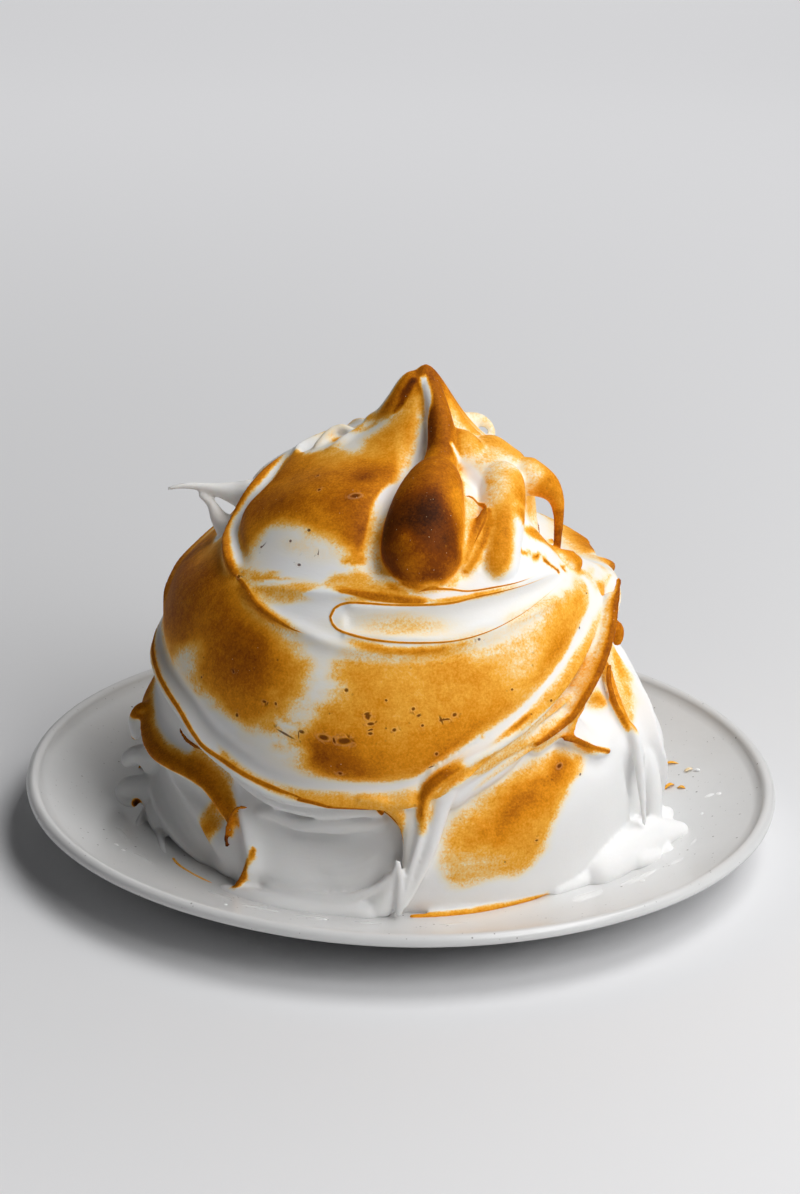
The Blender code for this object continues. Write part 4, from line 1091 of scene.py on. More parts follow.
    # Right pockets and folds.
    skin.area(SIDE_TOAST, 0.42, soft=3.5)
    skin.patch((59.4, 11.4), (4.0, 3.8), 0.57, soft=1.3)
    skin.strand(CURLS["side_crest"], 0.56, margin=-0.2, soft=1.0)
    skin.strand(CURLS["side_fold_up"], 0.42, margin=0.2, soft=1.4)
    skin.strand(CURLS["side_fold"][:4], 0.44, margin=0.4, soft=2.0)
    skin.strand(CURLS["side_fold"], 0.58, margin=-0.3, soft=0.9)
    # Left apron and the curls below it.
    skin.brush(APRON, 2.4, 0.52, offset=2.2, ends=(0.1, 0.05), soft=1.4)
    skin.area(
        [
            (-58, -5.6), (-52, -6.4), (-46, -8), (-41.5, -11), (-39.5, -15), (-40, -11), (-42, -7),
            (-43.4, -2.4), (-45.6, 1.6), (-50, 1.4), (-57, 1),
        ],
        0.52, soft=2.6, stray=0.4,
    )
    skin.line(1, APRON, 0.8, ends=(0.1, 0.1), offset=0.4)
    skin.patch((-46, -13), (4.6, 8), 0.5, turn=-20, soft=1.3)
    toast_summit(skin)
    toast_ledge(skin)
    skin.pits(PITS)


def toast_ledge(skin):
    """The ledge under the bulb, the fold beside it and the tongue above the belly."""
    skin.area(UNDER_BULB, 0.03, soft=0.9, stray=0.1)
    skin.area(LEFT_STREAKS, 0.30, soft=4.0, combed=1.8)
    skin.brush(
        [(-50, 38.6), (-44, 36.4), (-38, 34.8), (-31, 33.2), (-24, 32)],
        1.8, 0.5, ends=(0.05, 0.4), soft=1.6,
    )
    skin.brush([(-47, 40.6), (-39, 42), (-30, 43.4)], 0.6, 0.42, ends=(0.1, 0.5), soft=1.4)
    skin.area(UPPER_GOLD, 0.40, soft=4.0, combed=1.4, stray=0.4)
    skin.brush(
        [(-21, 42.4), (-14, 42.4), (-7, 41.8), (0, 41.3), (6, 41)],
        1.0, 0.56, ends=(0.15, 0.2), soft=1.4,
    )
    skin.brush(
        [(4, 41), (12, 41.2), (20, 41.8), (29, 42.4), (40, 43.4)],
        0.9, 0.42, ends=(0.2, 0.6), soft=1.4,
    )
    skin.brush([(1, 43.2), (8, 44), (14, 43.8), (22, 43.4)], 0.9, 0.4, ends=(0.2, 0.6), soft=1.4)
    skin.patch((-2, 36.6), (17, 3.4), 0.31, turn=1, soft=1.7)
    skin.brush([(-16, 33), (-9, 31.6), (0, 31), (10, 31.2), (18, 32)], 1.3, 0.46, ends=(0.3, 0.4), soft=1.6)


def toast_summit(skin):
    """The peak with its ridge, the bulb below it, the lobes and the hook."""
    skin.strand(CURLS["right_flank"][:3], 0.5, margin=1.6, soft=3.4)
    skin.strand(CURLS["hood"], 0.52, soft=2.4)
    skin.patch((48, 70), (24, 8), 0.3, soft=1.4)
    skin.area(RIGHT_LOBE_TOAST, 0.44, soft=5.0, stray=0.2)
    skin.patch((35, 61), (8, 4), 0.22, soft=1.8)
    skin.strand([(28, -31, 145, 1), (35, -25, 145, 1.2), (43, -22, 141.6, 1.2)], 0.2, margin=1.0, soft=5.0)
    skin.strand([(24, -18, 150, 1), (30, -15, 148.6, 1.5), (37, -15, 146.4, 1.6), (44, -17, 142.6, 1.6),
                 (49, -19, 137, 1.4)], 0.38, margin=0.6, soft=4.0)
    skin.spot((38.5, -38, 138), 4.4, 0.5, soft=1.8)
    skin.strand(CURLS["hook"][2:], 0.46)
    skin.strand(CURLS["hook"][4:], 0.58)
    skin.strand(CURLS["hook"][5:], 0.66)
    skin.strand(CURLS["hook"][7:], 0.76)
    skin.strand(CURLS["behind_band"], 0.48)
    skin.strand(
        [(37, -43, 134, 0.6), (42, -40, 127, 1), (46, -34, 122, 1.6), (52, -28, 116, 2), (57, -29, 114, 2)],
        0.45, margin=0.6, soft=2.4,
    )
    skin.strand(
        [(38, -49, 122.6, 0.2), (41, -47.4, 121, 0.3), (45, -45, 118.8, 0.3), (51, -43, 114, 0.3)],
        0.64, margin=0.3, soft=1.0,
    )
    for name, *look in [
        ("foot_ridge", 0.6, 0.0, 1.0), ("foot_fold", 0.5, 0.0, 1.0), ("back_curl", 0.16, 0.6, 1.6),
        ("edge_left", 0.36, -0.2, 0.7),
    ]:
        skin.strand(CURLS[name], *look)
    for spot in [
        ((-96.8, -10, 34.4), 1.6, 0.85, 0.8), ((-94.2, -19, 13.4), 1.8, 0.85, 0.8),
        ((-90.6, -9, 43), 2.0, 0.5, 1.2),
    ]:
        skin.spot(*spot)
    for name, *look in [
        ("wisp", 0.02, 0.6, 1.6), ("wisp_foot", 0.03, 0.6, 1.6), ("crater", 0.12, 1.5, 1.6),
        ("crater_rim", 0.05, 1.0, 1.6),
    ]:
        skin.strand(CURLS[name], *look)
    skin.spot((-26, 2, 145), 2.2, 0.75, soft=1.4)
    skin.strand(CURLS["fin_knob"], 0.52, soft=2.4)
    skin.strand(CURLS["apron_loop"], 0.54, margin=-0.1, soft=1.0)
    skin.strand(CURLS["apron_loop"][4:], 0.8, margin=-0.1, soft=1.4)
    skin.strand(CURLS["apron_notch"], 0.68, margin=0.0, soft=0.9)
    skin.strand(CURLS["apron_tip"], 0.56, margin=0.0, soft=1.0)
    skin.strand(CURLS["mid_ridge"][:5], 0.6, soft=1.8)
    skin.strand(
        [(x - 2.6, y - 2.2, z, 1.2) for x, y, z, _ in CURLS["mid_ridge"][1:5]], 0.72, margin=0.8, soft=2.4,
    )
    skin.strand(LEFT_CHANNEL, 0.02, margin=-0.4, soft=1.5)
    skin.strand(RIGHT_CHANNEL, 0.03, margin=-0.6, soft=1.4)
    skin.area(POCKET_TOAST, 0.44, soft=1.8, stray=0.1)
    skin.strand(CURLS["leaf"], 0.6, margin=0.0, soft=0.8)
    skin.line(2, POCKET_LINE, 0.4, ends=(0.2, 0.2))
    # Bulb: brown, nearly black up on its left, golden at its right edge and its foot.
    skin.strand(CURLS["bulb"], 0.57, margin=-0.4, soft=1.2)
    for spot in [
        ((3, -56, 140), 10.0, 0.68, 2.0), ((-7, -56, 130), 9.0, 0.8, 1.9), ((5, -61, 136), 8.0, 0.95, 2.0),
        ((12, -63, 130), 6.0, 0.8, 1.9), ((-6, -65, 121), 6.6, 0.76, 1.9), ((9, -70, 123), 4.6, 0.74, 1.9),
        ((-1, -66, 131), 3.4, 0.62, 2.0), ((1, -69, 125), 3.4, 0.6, 2.0),
        ((16.5, -50, 139), 6.0, 0.46, 1.8), ((17.6, -57, 128), 4.0, 0.46, 1.8),
        ((4, -72, 114.6), 3.0, 0.5, 1.2),
    ]:
        skin.spot(*spot)
    # The white outer edge of the hood, and painted shade in the crevice under it, as a thin near-black line.
    skin.strand(CURLS["hood"], 0.04, margin=0.4, soft=1.4, strength=0.9, turned=(-0.85, 0.5, 0.0))
    # Painted shade: a near-black line in the crevice under the hood.
    skin.strand(
        [(0.6, -4.6, 168, 0.5), (-1.6, -6.4, 164.6, 0.8), (-3.6, -7.6, 161.4, 0.9), (-5.6, -8, 158.6, 0.6)],
        0.82, margin=-0.2, soft=1.6,
    )


def toast_back(skin):
    """Browning of the same kind round the sides and the back."""
    for centre, radii, tone, turn in [
        ((120, 28), (30, 14), 0.52, -12), ((160, 26), (34, 14), 0.6, 4), ((205, 28), (30, 16), 0.56, 8),
        ((245, 34), (24, 18), 0.62, 20), ((150, 60), (34, 14), 0.58, 10), ((205, 62), (26, 18), 0.5, -30),
        ((95, 62), (22, 12), 0.5, 20), ((122, 0), (20, 10), 0.5, 38), ((136, -10), (12, 6), 0.46, 50),
        ((186, -4), (28, 9), 0.5, -14), ((172, -10), (14, 6), 0.56, -24), ((222, -4), (12, 16), 0.42, 32),
        ((232, -12), (16, 6), 0.48, 40), ((256, 2), (18, 8), 0.42, -12), ((172, 78), (16, 8), 0.6, 0),
    ]:
        skin.patch(centre, radii, tone, turn=turn, soft=1.4)
    for centre, radii in [
        ((140, 17), (12, 6)), ((185, 34), (14, 6)), ((228, 16), (10, 8)), ((120, 52), (14, 6)),
    ]:
        skin.patch(centre, radii, 0.08, soft=1.2)
    for path in BACK_EDGES:
        skin.brush(path, 3.0, 0.03, offset=5.4, ends=(0.1, 0.1), soft=0.9)
        skin.brush(path, 1.4, 0.62, offset=0.2, ends=(0.1, 0.1))


def toasted(obj):
    """Leaves the torch's tone on a piece, with crests darker and creases pale."""
    skin = Toast(obj.data)
    toast_back(skin)
    toast_front(skin)
    exposed = smooth_step(skin.tone / 0.3)
    skin.tone += CREST_DARKENS * exposed * np.clip(skin.relief / CREST_HEIGHT, -1.0, 1.0)
    skin.tone *= 1.0 - CREASE_PALES * smooth_step((-skin.relief - CREASE_FROM) / CREASE_SPAN)
    tone = obj.data.attributes.new("toast", "FLOAT", "POINT")
    tone.data.foreach_set("value", np.clip(skin.tone, 0.0, 1.0))
    for name in ("line_across", "line_strength", "pit"):
        kept = obj.data.attributes.new(name, "FLOAT_VECTOR", "POINT")
        kept.data.foreach_set("vector", getattr(skin, name).ravel())
    return obj


# ---------------------------------------------------------------- materials

class Value:
    """A shader socket that takes part in sums. Sums add Math nodes."""

    def __init__(self, material, socket):
        self.material, self.socket = material, socket

    def _math(self, operation, *values, clamp=False):
        return self.material.node(
            "ShaderNodeMath", {"operation": operation, "use_clamp": clamp}, dict(enumerate(values))
        )

    def __add__(self, other):
        return self._math("ADD", self, other)

    __radd__ = __add__

    def __sub__(self, other):
        return self._math("SUBTRACT", self, other)

    def __rsub__(self, other):
        return self._math("SUBTRACT", other, self)

    def __mul__(self, other):
        return self._math("MULTIPLY", self, other)

    __rmul__ = __mul__

    def __pow__(self, other):
        return self._math("POWER", self, other)

    def size(self):
        """The value without its sign."""
        return self._math("ABSOLUTE", self)

    def clamped(self):
        """The value held between 0 and 1."""
        return self._math("ADD", self, 0.0, clamp=True)

    def rising(self, low, high):
        """0 below one value and 1 above another, with a smooth rise between."""
        return self.material.node(
            "ShaderNodeMapRange",
            {"interpolation_type": "SMOOTHSTEP"},
            {"Value": self, "From Min": low, "From Max": high},
        )


# Where a Mix node has its share, its two colours and the mixed colour.
MIX_SHARE, MIX_FIRST, MIX_SECOND, MIX_COLOUR = 0, 6, 7, 2


class Finish:
    """A material whose nodes are written as expressions."""

    def __init__(self, name, **constants):
        self.data = bpy.data.materials.new(name)
        self.data.use_nodes = True
        self.nodes = self.data.node_tree.nodes
        self.links = self.data.node_tree.links
        self.shader = self.nodes["Principled BSDF"]
        for socket, value in constants.items():
            self.shader.inputs[socket.replace("_", " ")].default_value = value

    def node(self, kind, settings=None, sockets=None, output=0):
        """Adds a node with its settings and socket values, and gives one of its outputs."""
        made = self.nodes.new(kind)
        for name, value in (settings or {}).items():
            if name == "stops":
                self._stops(made.color_ramp, value)
            else:
                setattr(made, name, value)
        for name, value in (sockets or {}).items():
            self.feed(made.inputs[name], value)
        return Value(self, made.outputs[output])

    @staticmethod
    def _stops(ramp, stops):
        while len(ramp.elements) < len(stops):
            ramp.elements.new(1.0)
        for element, (position, colour) in zip(ramp.elements, stops):
            element.position = position
            element.color = (*colour, 1.0)

    def feed(self, socket, value):
        """Links a value to a socket, or sets it there."""
        if isinstance(value, Value):
            self.links.new(value.socket, socket)
        else:
            socket.default_value = value

    def noise(self, size, detail=2.0, roughness=0.5, source=None):
        """Noise with features of about a size in metres, from 0 to 1."""
        return self.node(
            "ShaderNodeTexNoise",
            {},
            {"Vector": source or self.place(), "Scale": 1.0 / size, "Detail": detail, "Roughness": roughness},
        )

    def cells(self, size):
        """Distance to scattered points about a size in metres apart."""
        return self.node(
            "ShaderNodeTexVoronoi", {}, {"Vector": self.place(), "Scale": 1.0 / size}, output="Distance"
        )

    def place(self):
        """Object coordinates."""
        return self.node("ShaderNodeTexCoord", output="Object")

    def attribute(self, name):
        """A value stored on the mesh."""
        return self.node("ShaderNodeAttribute", {"attribute_name": name}, output="Fac")

    def attributes(self, name):
        """The three values of a vector stored on the mesh."""
        stored = self.node("ShaderNodeAttribute", {"attribute_name": name}, output="Vector")
        split = self.node("ShaderNodeSeparateXYZ", {}, {"Vector": stored})
        return [Value(self, socket) for socket in split.socket.node.outputs]

    def stretched(self, scale):
        """Object coordinates, scaled along the axes."""
        return self.node("ShaderNodeMapping", {}, {"Vector": self.place(), "Scale": scale})

    def mix(self, share, first, second):
        """A mix of two colours, each a link or a red, green and blue."""
        first, second = (value if isinstance(value, Value) else (*value, 1.0) for value in (first, second))
        return self.node(
            "ShaderNodeMix",
            {"data_type": "RGBA"},
            {MIX_SHARE: share, MIX_FIRST: first, MIX_SECOND: second},
            output=MIX_COLOUR,
        )

    def ramp(self, value, stops):
        """A colour for a value, through stops of (position, colour)."""
        return self.node("ShaderNodeValToRGB", {"stops": stops}, {0: value})

    def bump(self, height, distance, strength):
        """A bump whose height of 1 stands a distance in metres out."""
        return self.node(
            "ShaderNodeBump", {}, {"Height": height, "Distance": distance, "Strength": strength}
        )

    def use(self, **values):
        """Feeds the shader's sockets."""
        for name, value in values.items():
            self.feed(self.shader.inputs[name.replace("_", " ")], value)
        return self.data


# Colours of the meringue as the toast rises.
TOAST_COLOURS = [
    (0.00, (0.865, 0.862, 0.855)),
    (0.10, (0.89, 0.85, 0.765)),
    (0.20, (0.94, 0.79, 0.55)),
    (0.31, (0.95, 0.63, 0.24)),
    (0.43, (0.93, 0.44, 0.05)),
    (0.55, (0.76, 0.275, 0.008)),
    (0.67, (0.47, 0.138, 0.002)),
    (0.80, (0.21, 0.047, 0.001)),
    (1.00, (0.045, 0.011, 0.002)),
]
LINE_TONES = (0.66, 0.62, 0.64)
FAINT_BUBBLE = (0.42, 0.14, 0.01)
BUBBLE_RIM = (0.95, 0.66, 0.36)
BUBBLE_DARK = (0.11, 0.025, 0.002)
BLISTER_GLINT = (0.95, 0.72, 0.42)
MERINGUE_SCATTER = (1.0, 0.75, 0.55)
GLAZE_COOL, GLAZE_PALE = (0.66, 0.66, 0.655), (0.74, 0.74, 0.735)
SPECK_COLOUR = (0.10, 0.085, 0.07)
# Specks of the glaze, by kind: how far apart they are, where one ends and begins, and how dark it is.
SPECKS = [(0.0075, 0.045, 0.065, 0.85), (0.0046, 0.055, 0.085, 0.7), (0.0028, 0.06, 0.11, 0.4)]
FILM_THIN, FILM_THICK = (0.76, 0.76, 0.755), (0.86, 0.86, 0.85)


def meringue_finish():
    """White satin meringue that turns golden and then brown, in fine specks, as the toast rises."""
    finish = Finish(
        "toasted meringue",
        Subsurface_Weight=0.08,
        Subsurface_Scale=0.003,
        Subsurface_Radius=MERINGUE_SCATTER,
        Specular_IOR_Level=0.08,
    )
    toast = finish.attribute("toast")
    grain = finish.noise(0.0008, 2.0, 0.65)
    clumps = finish.noise(0.0035, 3.0, 0.55)
    drift = finish.noise(0.02, 2.0, 0.5)
    combed = finish.noise(0.0022, 2.0, 0.6, source=finish.stretched((0.13, 0.13, 1.0)))
    # Thin crests that the torch has browned, with grainy edges.
    ridge = 0.0
    for across, strength, tone in zip(
        finish.attributes("line_across"), finish.attributes("line_strength"), LINE_TONES
    ):
        away = across.size() + (grain - 0.5) * 0.8
        toast = toast + (tone - toast) * (1.0 - away.rising(0.5, 1.5)) * strength
        ridge = (1.0 - across.size().rising(0.0, 2.2)) * strength + ridge
    coloured = toast.rising(0.03, 0.3)
    fading = coloured * (1.0 - toast.rising(0.3, 0.5))
    uneven = (grain - 0.5) * (0.24 + fading * 0.28) + (clumps - 0.5) * (0.16 + fading * 0.18)
    uneven = uneven + (drift - 0.5) * 0.2
    uneven = uneven + (combed - 0.5) * (0.08 + fading * 0.14)
    tone = (toast + uneven * coloured).clamped()
    colour = finish.ramp(tone, TOAST_COLOURS)
    # Burst bubbles: dark hollows with a pale rim, then pinholes and faint small ones.
    level, uphill, near = finish.attributes("pit")
    reach = (level * level + uphill * uphill) ** 0.5 + (clumps - 0.5) * 0.7
    hollow = (1.0 - reach.rising(0.55, 1.15)) * near.rising(0.3, 0.9)
    pale = reach.rising(0.9, 1.2) * (1.0 - reach.rising(1.3, 1.9)) * near.rising(0.5, 1.0)
    holes = finish.cells(0.0055)
    chosen = finish.noise(0.009, 0.0, 0.5)
    pin = (1.0 - holes.rising(0.04, 0.09)) * chosen.rising(0.54, 0.58) * toast.rising(0.25, 0.45)
    faint = (1.0 - finish.cells(0.0036).rising(0.07, 0.17)) * finish.noise(0.005, 0.0, 0.5).rising(0.5, 0.58)
    faint = faint * toast.rising(0.25, 0.4)
    colour = finish.mix(faint * 0.42, colour, FAINT_BUBBLE)
    colour = finish.mix(pale * 0.12, colour, BUBBLE_RIM)
    colour = finish.mix(hollow * 0.85 + pin * 0.6, colour, BUBBLE_DARK)
    # The darkest crust is dotted with tiny blisters: small bumps, each with a painted highlight mixed into
    # its colour.
    blister_and_glint = (1.0 - finish.cells(0.0016).rising(0.05, 0.13)) * toast.rising(0.62, 0.72)
    blister_and_glint = blister_and_glint * finish.noise(0.003, 0.0, 0.5).rising(0.56, 0.6)
    # Painted highlight: a pale glint colour on each blister.
    colour = finish.mix(blister_and_glint * 0.75, colour, BLISTER_GLINT)
    crust = toast.rising(0.25, 0.6)
    height = grain * (0.25 + 0.75 * crust) + clumps * 0.5 - pin * 1.5 - hollow * 2.4 + pale * 0.5
    height = height + ridge * 1.6 + blister_and_glint * 1.5 + (combed - 0.5) * 0.5
    return finish.use(
        Base_Color=colour,
        Roughness=0.45 + crust * 0.2 + (grain - 0.5) * 0.1,
        Normal=finish.bump(height, 0.0002, 0.5),
    )


def glaze_finish():
    """Off-white satin glaze with fine dark specks."""
    finish = Finish("speckled glaze", Roughness=0.3, Coat_Weight=0.25, Coat_Roughness=0.12)
    cloud = finish.noise(0.03, 3.0, 0.5)
    colour = finish.mix(cloud, GLAZE_COOL, GLAZE_PALE)
    for size, low, high, depth in SPECKS:
        specks = 1.0 - finish.cells(size).rising(low, high)
        chosen = finish.noise(size * 1.3, 0.0, 0.5).rising(0.46, 0.48)
        colour = finish.mix(specks * chosen * depth, colour, SPECK_COLOUR)
    return finish.use(
        Base_Color=colour,
        Roughness=0.26 + cloud * 0.12,
        Normal=finish.bump(finish.noise(0.012, 3.0, 0.5), 0.0004, 0.35),
    )


def film_finish():
    """Thin wet meringue, white and glossy."""
    finish = Finish("wet film", Roughness=0.14, Coat_Weight=0.4, Coat_Roughness=0.08)
    cloud = finish.noise(0.004, 2.0, 0.5)
    return finish.use(
        Base_Color=finish.mix(cloud, FILM_THIN, FILM_THICK),
        Normal=finish.bump(cloud, 0.0004, 0.5),
    )


# ---------------------------------------------------------------- plate

def well_height(radius):
    """Height of the plate's upper face at a radius: flat in the well, then rising to the lip."""
    climb = PLATE_HEIGHT - LIP_RADIUS - WELL_TOP
    share = np.clip((radius - WELL_RADIUS) / (PLATE_RADIUS - 2.0 * LIP_RADIUS - WELL_RADIUS), 0.0, 1.0)
    return WELL_TOP + climb * share**WELL_CURVE


def outer_share(radius):
    """0 in the well and 1 at the lip, with a smooth rise between."""
    return smooth_step((radius - WELL_RADIUS) / (PLATE_RADIUS - WELL_RADIUS))


def plate_wave(bearing):
    """How far the lip lies out of true at a bearing."""
    return MM * (0.22 * np.sin(2.0 * bearing + 0.6) + 0.12 * np.sin(5.0 * bearing) - 0.3)


def plate_profile():
    """From the middle of the upper face, over the lip, down the outside and under to the foot."""
    inward = np.linspace(MIDDLE_RADIUS, WELL_RADIUS, 6)[:-1]
    outward = np.linspace(WELL_RADIUS, PLATE_RADIUS - 2.0 * LIP_RADIUS, 14)
    profile = [(r, WELL_TOP) for r in inward] + [(r, float(well_height(r))) for r in outward]
    lip_out, lip_up = PLATE_RADIUS - LIP_RADIUS, PLATE_HEIGHT - LIP_RADIUS
    for angle in np.radians(LIP_ANGLES):
        profile.append((lip_out + LIP_RADIUS * math.cos(angle), lip_up + LIP_RADIUS * math.sin(angle)))
    low = FOOT_DEPTH + UNDERSIDE_EDGE
    start = profile[-1]
    for share in np.linspace(0.06, 1.0, 12):
        radius = start[0] + (FOOT_OUTER + 2.0 * MM - start[0]) * share
        profile.append((radius, low + (start[1] - low) * (1.0 - share) ** 2.0))
    profile += [
        (FOOT_OUTER + 0.2 * MM, FOOT_ROUNDING + 0.6 * MM),
        (FOOT_OUTER - 0.2 * MM, FOOT_ROUNDING * 0.4),
        (FOOT_OUTER - FOOT_ROUNDING, 0.0),
        (FOOT_INNER + FOOT_ROUNDING, 0.0),
        (FOOT_INNER + 0.2 * MM, FOOT_ROUNDING * 0.4),
        (FOOT_INNER - FOOT_ROUNDING * 0.5, FOOT_DEPTH * 0.7),
        (FOOT_INNER - 2.0 * MM, FOOT_DEPTH),
        (40.0 * MM, FOOT_DEPTH),
        (MIDDLE_RADIUS, FOOT_DEPTH),
    ]
    return profile


def thrown_plate():
    """The plate, drawn out ring by ring from a disc in the middle of its upper face."""
    profile = plate_profile()
    bpy.ops.object.select_all(action="DESELECT")
    bpy.ops.mesh.primitive_circle_add(
        vertices=PLATE_CORNERS, radius=profile[0][0], fill_type="TRIFAN", location=(0, 0, profile[0][1])
    )
    plate = bpy.context.object
    plate.name = plate.data.name = "speckled_plate"
    only(plate)
    bpy.ops.object.transform_apply(location=True)
    bpy.ops.object.mode_set(mode="EDIT")
    bpy.ops.mesh.select_mode(type="EDGE")
    bpy.ops.mesh.select_all(action="DESELECT")
    bpy.ops.mesh.select_non_manifold()
    for (radius, height), (wider, higher) in zip(profile, profile[1:]):
        bpy.ops.mesh.extrude_region_move(TRANSFORM_OT_translate={"value": (0, 0, higher - height)})
        bpy.ops.transform.resize(value=(wider / radius, wider / radius, 1.0), center_override=(0, 0, higher))
    bpy.ops.mesh.edge_face_add()
    bpy.ops.mesh.poke()
    bpy.ops.mesh.select_all(action="SELECT")
    bpy.ops.mesh.normals_make_consistent(inside=False)
    bpy.ops.object.mode_set(mode="OBJECT")
    points = read_points(plate.data)
    bearing = np.arctan2(points[:, 1], points[:, 0])
    outer = outer_share(np.hypot(points[:, 0], points[:, 1]))
    points[:, 2] += outer * plate_wave(bearing)
    points[:, :2] *= (1.0 - OUT_OF_ROUND * outer * (1.0 + np.sin(3.0 * bearing + 1.1)))[:, None]
    plate.data.vertices.foreach_set("co", points.ravel())
    plate.data.update()
    bpy.ops.object.shade_smooth()
    return plate


# ---------------------------------------------------------------- flakes, drops and film

def resting_height(x, y):
    """Height of the plate's upper face under a point in millimetres."""
    radius = math.hypot(x, y) * MM
    return float(well_height(radius) + outer_share(radius) * plate_wave(math.atan2(y, x))) / MM


# Flakes of crust: x, y, length, width, turn, arch and how toasted.
FLAKES = [
    (100.2, 32.8, 6.2, 1.7, -12, 0.9, 0.44), (98.6, 15.0, 5.0, 2.2, 28, 1.3, 0.48),
    (102.8, 12.6, 3.6, 1.5, -30, 0.7, 0.42), (106.4, 24.8, 3.8, 2.0, 12, 0.8, 0.24),
    (109.4, 23.0, 2.6, 1.5, -20, 0.5, 0.0), (-96.2, 22.6, 3.4, 1.6, 40, 0.8, 0.5),
    (-70.0, 86.0, 4.0, 1.8, 60, 1.0, 0.46), (52.0, 96.0, 3.2, 1.5, -35, 0.7, 0.4),
    (92.0, 50.0, 2.4, 1.2, 70, 0.5, 0.5),
]
# Drops of meringue: x, y, length, width, turn and thickness.
DROPS = [
    (112.0, 1.2, 4.6, 2.4, 14, 0.7), (115.0, 0.2, 2.6, 1.9, -10, 0.9), (82.6, -66.6, 2.4, 1.7, 20, 0.6),
    (-98.4, -50.4, 2.6, 1.7, -50, 0.5), (-95.6, -54.4, 2.0, 1.4, -30, 0.5),
    (-57.6, -95.0, 1.9, 1.4, 0, 0.5), (-24.6, -99.0, 1.8, 1.4, 30, 0.5), (108.0, -12.4, 2.0, 1.5, 50, 0.6),
    (-60.0, 92.0, 3.0, 2.0, 20, 0.7), (30.0, 102.0, 2.4, 1.7, -15, 0.6),
]
# Thin wet film left where meringue touched the plate: x, y, length, width, turn and thickness.
FILM = [
    (-60.0, -84.0, 20.0, 6.0, -38, 0.32), (-46.0, -92.6, 22.0, 6.0, -22, 0.34),
    (-28.0, -97.4, 20.0, 5.6, -10, 0.34), (-10.0, -99.6, 16.0, 4.6, -4, 0.28),
    (-97.6, -38.0, 18.0, 4.6, -72, 0.28), (-88.4, -58.0, 16.0, 5.0, -55, 0.3),
    (64.0, -75.0, 24.0, 7.0, 42, 0.34), (82.0, -62.4, 22.0, 7.0, 40, 0.34),
    (96.0, -52.0, 14.0, 6.0, 52, 0.28), (103.0, -36.0, 12.0, 5.0, 66, 0.26),
    (18.0, -99.0, 18.0, 4.0, 12, 0.24), (-78.0, 70.0, 20.0, 6.0, 48, 0.3),
]


LITTER_SEED = 17
LENS_CORNERS = 18
# Rings of a small piece: their share of its outline, and how much of its thickness they carry.
LENS_RINGS = [(0.45, 1.0), (0.8, 1.0), (1.0, 1.0), (0.6, 0.0)]
# How uneven the outline of each kind is, how far its edge is sunk, and a flake's thickness.
FLAKE_UNEVEN, FLAKE_SUNK, FLAKE_THICKNESS = 0.3, 0.0, 0.5
DROP_UNEVEN, DROP_SUNK = 0.2, 0.1
FILM_UNEVEN, FILM_SUNK = 0.5, 0.16


def lens(middle_x, middle_y, length, width, turn, thickness, arch, unevenness, sunk, draw):
    """Points and faces of a small thin piece with an uneven outline, that lies on the plate. It is thickest
    in the middle, and may arch up from its ends."""
    count = LENS_CORNERS
    angles = np.linspace(0.0, 2.0 * math.pi, count, endpoint=False)
    swell = 1.0 + unevenness * sum(
        draw.uniform(0.3, 1.0) * np.sin(lobes * angles + draw.uniform(0.0, 2.0 * math.pi)) / lobes
        for lobes in (2, 3, 4, 6)
    )
    turned = math.radians(turn)
    points = []

    def add(share, angle, reach, side):
        along = 0.5 * length * share * reach * math.cos(angle)
        across = 0.5 * width * share * reach * math.sin(angle)
        x = middle_x + along * math.cos(turned) - across * math.sin(turned)
        y = middle_y + along * math.sin(turned) + across * math.cos(turned)
        rise = arch * (1.0 - min(1.0, (2.0 * along / length) ** 2)) + side * thickness * (1.0 - share**2)
        points.append((x * MM, y * MM, (resting_height(x, y) - sunk + rise) * MM))

    add(0.0, 0.0, 1.0, 1.0)
    for share, side in LENS_RINGS:
        for angle, reach in zip(angles, swell):
            add(share, angle, reach, side)
    add(0.0, 0.0, 1.0, 0.0)
    faces = [(0, 1 + k, 1 + (k + 1) % count) for k in range(count)]
    for ring in range(len(LENS_RINGS) - 1):
        high = 1 + ring * count
        low = high + count
        faces += [(high + k, low + k, low + (k + 1) % count, high + (k + 1) % count) for k in range(count)]
    last = 1 + (len(LENS_RINGS) - 1) * count
    faces += [(last + k, len(points) - 1, last + (k + 1) % count) for k in range(count)]
    return points, faces


def small_pieces(name, pieces, finish):
    """One object of many small closed pieces, each given as its tone of toast and what lens() takes."""
    points, faces, tones = [], [], []
    for tone, *shape in pieces:
        own_points, own_faces = lens(*shape)
        faces += [tuple(len(points) + k for k in face) for face in own_faces]
        points += own_points
        tones += [tone] * len(own_points)
    mesh = bpy.data.meshes.new(name)
    mesh.from_pydata(points, [], faces)
    mesh.update()
    mesh.polygons.foreach_set("use_smooth", [face.normal.z > -0.3 for face in mesh.polygons])
    kept = mesh.attributes.new("toast", "FLOAT", "POINT")
    kept.data.foreach_set("value", tones)
    mesh.materials.append(finish)
    return new_object(name, mesh)


def plate_litter(crust):
    """Flakes of crust, drops and the wet film on the plate."""
    draw = np.random.default_rng(LITTER_SEED)
    flakes = [
        (tone, *outline, FLAKE_THICKNESS, arch, FLAKE_UNEVEN, FLAKE_SUNK, draw)
        for *outline, arch, tone in FLAKES
    ]
    drops = [(0.0, *drop, 0.0, DROP_UNEVEN, DROP_SUNK, draw) for drop in DROPS]
    film = [(0.0, *smear, 0.0, FILM_UNEVEN, FILM_SUNK, draw) for smear in FILM]
    return (
        small_pieces("crust_flakes", flakes, crust),
        small_pieces("meringue_drops", drops, crust),
        small_pieces("wet_film", film, film_finish()),
    )


# ---------------------------------------------------------------- put together

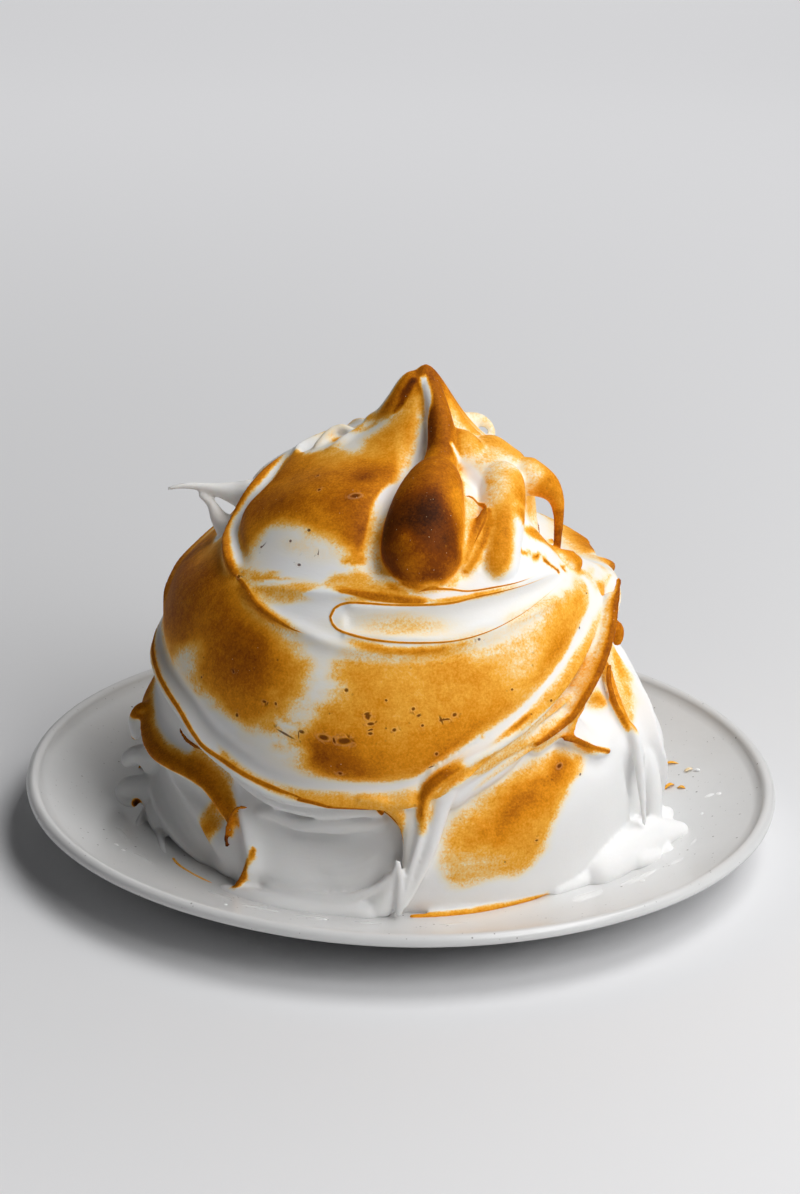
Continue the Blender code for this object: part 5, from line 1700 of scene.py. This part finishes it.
def main():
    meringue = toasted(melted_meringue())
    crust = meringue_finish()
    meringue.data.materials.append(crust)
    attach(meringue, "root")
    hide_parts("meringue")

    plate = thrown_plate()
    plate.data.materials.append(glaze_finish())
    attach(plate, "root")
    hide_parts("plate")

    for piece in plate_litter(crust):
        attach(piece, "root")


main()


# ---------------------------------------------------------------- floor, light and camera

FLOOR_REACH = 9.0
FLOOR_CORNERS = 128
FLOOR_COLOUR = (0.80, 0.80, 0.81, 1.0)
GLOW_START, GLOW_FULL, GLOW_CURVE = 0.14, 1.5, 0.65
GLOW_COLOUR = (0.41, 0.41, 0.42)
LAMP_AIM = 70.0 * MM
AIR_COLOUR = (0.93, 0.95, 1.0, 1.0)
AIR_STRENGTH = 0.03
# Each lamp's bearing and rise, distance, size and power.
LAMPS = {
    "window": ((90, 64), 1.3, 0.7, 9.6),
    "window_side": ((44, 39), 1.3, 0.7, 9.0),
    "window_back": ((172, 26), 2.7, 2.3, 8.4),
}
CAMERA_TARGET = Vector((-2.15 * MM, 0.0, 87.2 * MM))
CAMERA_RISE = 20.4
CAMERA_DISTANCE = 0.998
CAMERA_ROLL = 1.32
CAMERA_LENS = 85.0
CAMERA_WIDTH = 36.0


def stage():
    """A wide pale floor, which glows a little far from the lamps, so that it is pale on every side."""
    bpy.ops.object.select_all(action="DESELECT")
    bpy.ops.mesh.primitive_circle_add(vertices=FLOOR_CORNERS, radius=FLOOR_REACH, fill_type="NGON")
    floor = bpy.context.object
    floor.name = floor.data.name = "floor"
    finish = Finish("pale floor", Roughness=0.9, Emission_Strength=1.0)
    away = finish.node("ShaderNodeVectorMath", {"operation": "LENGTH"}, {0: finish.place()}, output="Value")
    glow = finish.mix(away.rising(GLOW_START, GLOW_FULL) ** GLOW_CURVE, (0.0, 0.0, 0.0), GLOW_COLOUR)
    floor.data.materials.append(finish.use(Base_Color=FLOOR_COLOUR, Emission_Color=glow))


def softbox(name, towards, distance, size, power):
    """A square lamp that looks at the middle of the dome."""
    lamp = bpy.data.lights.new(name, "AREA")
    lamp.size = size
    lamp.energy = power
    obj = new_object(name, lamp)
    middle = Vector((0, 0, LAMP_AIM))
    obj.location = middle + Vector(direction(*towards)) * distance
    obj.rotation_euler = (middle - obj.location).to_track_quat("-Z", "Y").to_euler()
    obj.visible_camera = False


def light():
    """Two soft lamps at the right, a wide one behind that the glaze reflects, and a faint even light."""
    world = bpy.data.worlds.new("surroundings")
    bpy.context.scene.world = world
    world.use_nodes = True
    air = world.node_tree.nodes["Background"].inputs
    air["Color"].default_value = AIR_COLOUR
    air["Strength"].default_value = AIR_STRENGTH
    for name, settings in LAMPS.items():
        softbox(name, *settings)


def camera():
    """The camera, in front of the dome and looking down on it a little."""
    data = bpy.data.cameras.new("camera")
    data.lens = CAMERA_LENS
    data.sensor_width = CAMERA_WIDTH
    obj = new_object("camera", data)
    rise = math.radians(CAMERA_RISE)
    back = Vector((0.0, -math.cos(rise), math.sin(rise)))
    place = Matrix.Translation(CAMERA_TARGET + back * CAMERA_DISTANCE)
    turn = (-back).to_track_quat("-Z", "Y").to_matrix().to_4x4()
    obj.matrix_world = place @ turn @ Matrix.Rotation(math.radians(CAMERA_ROLL), 4, "Z")
    bpy.context.scene.camera = obj


stage()
light()
camera()
bpy.context.scene.view_settings.view_transform = "Standard"
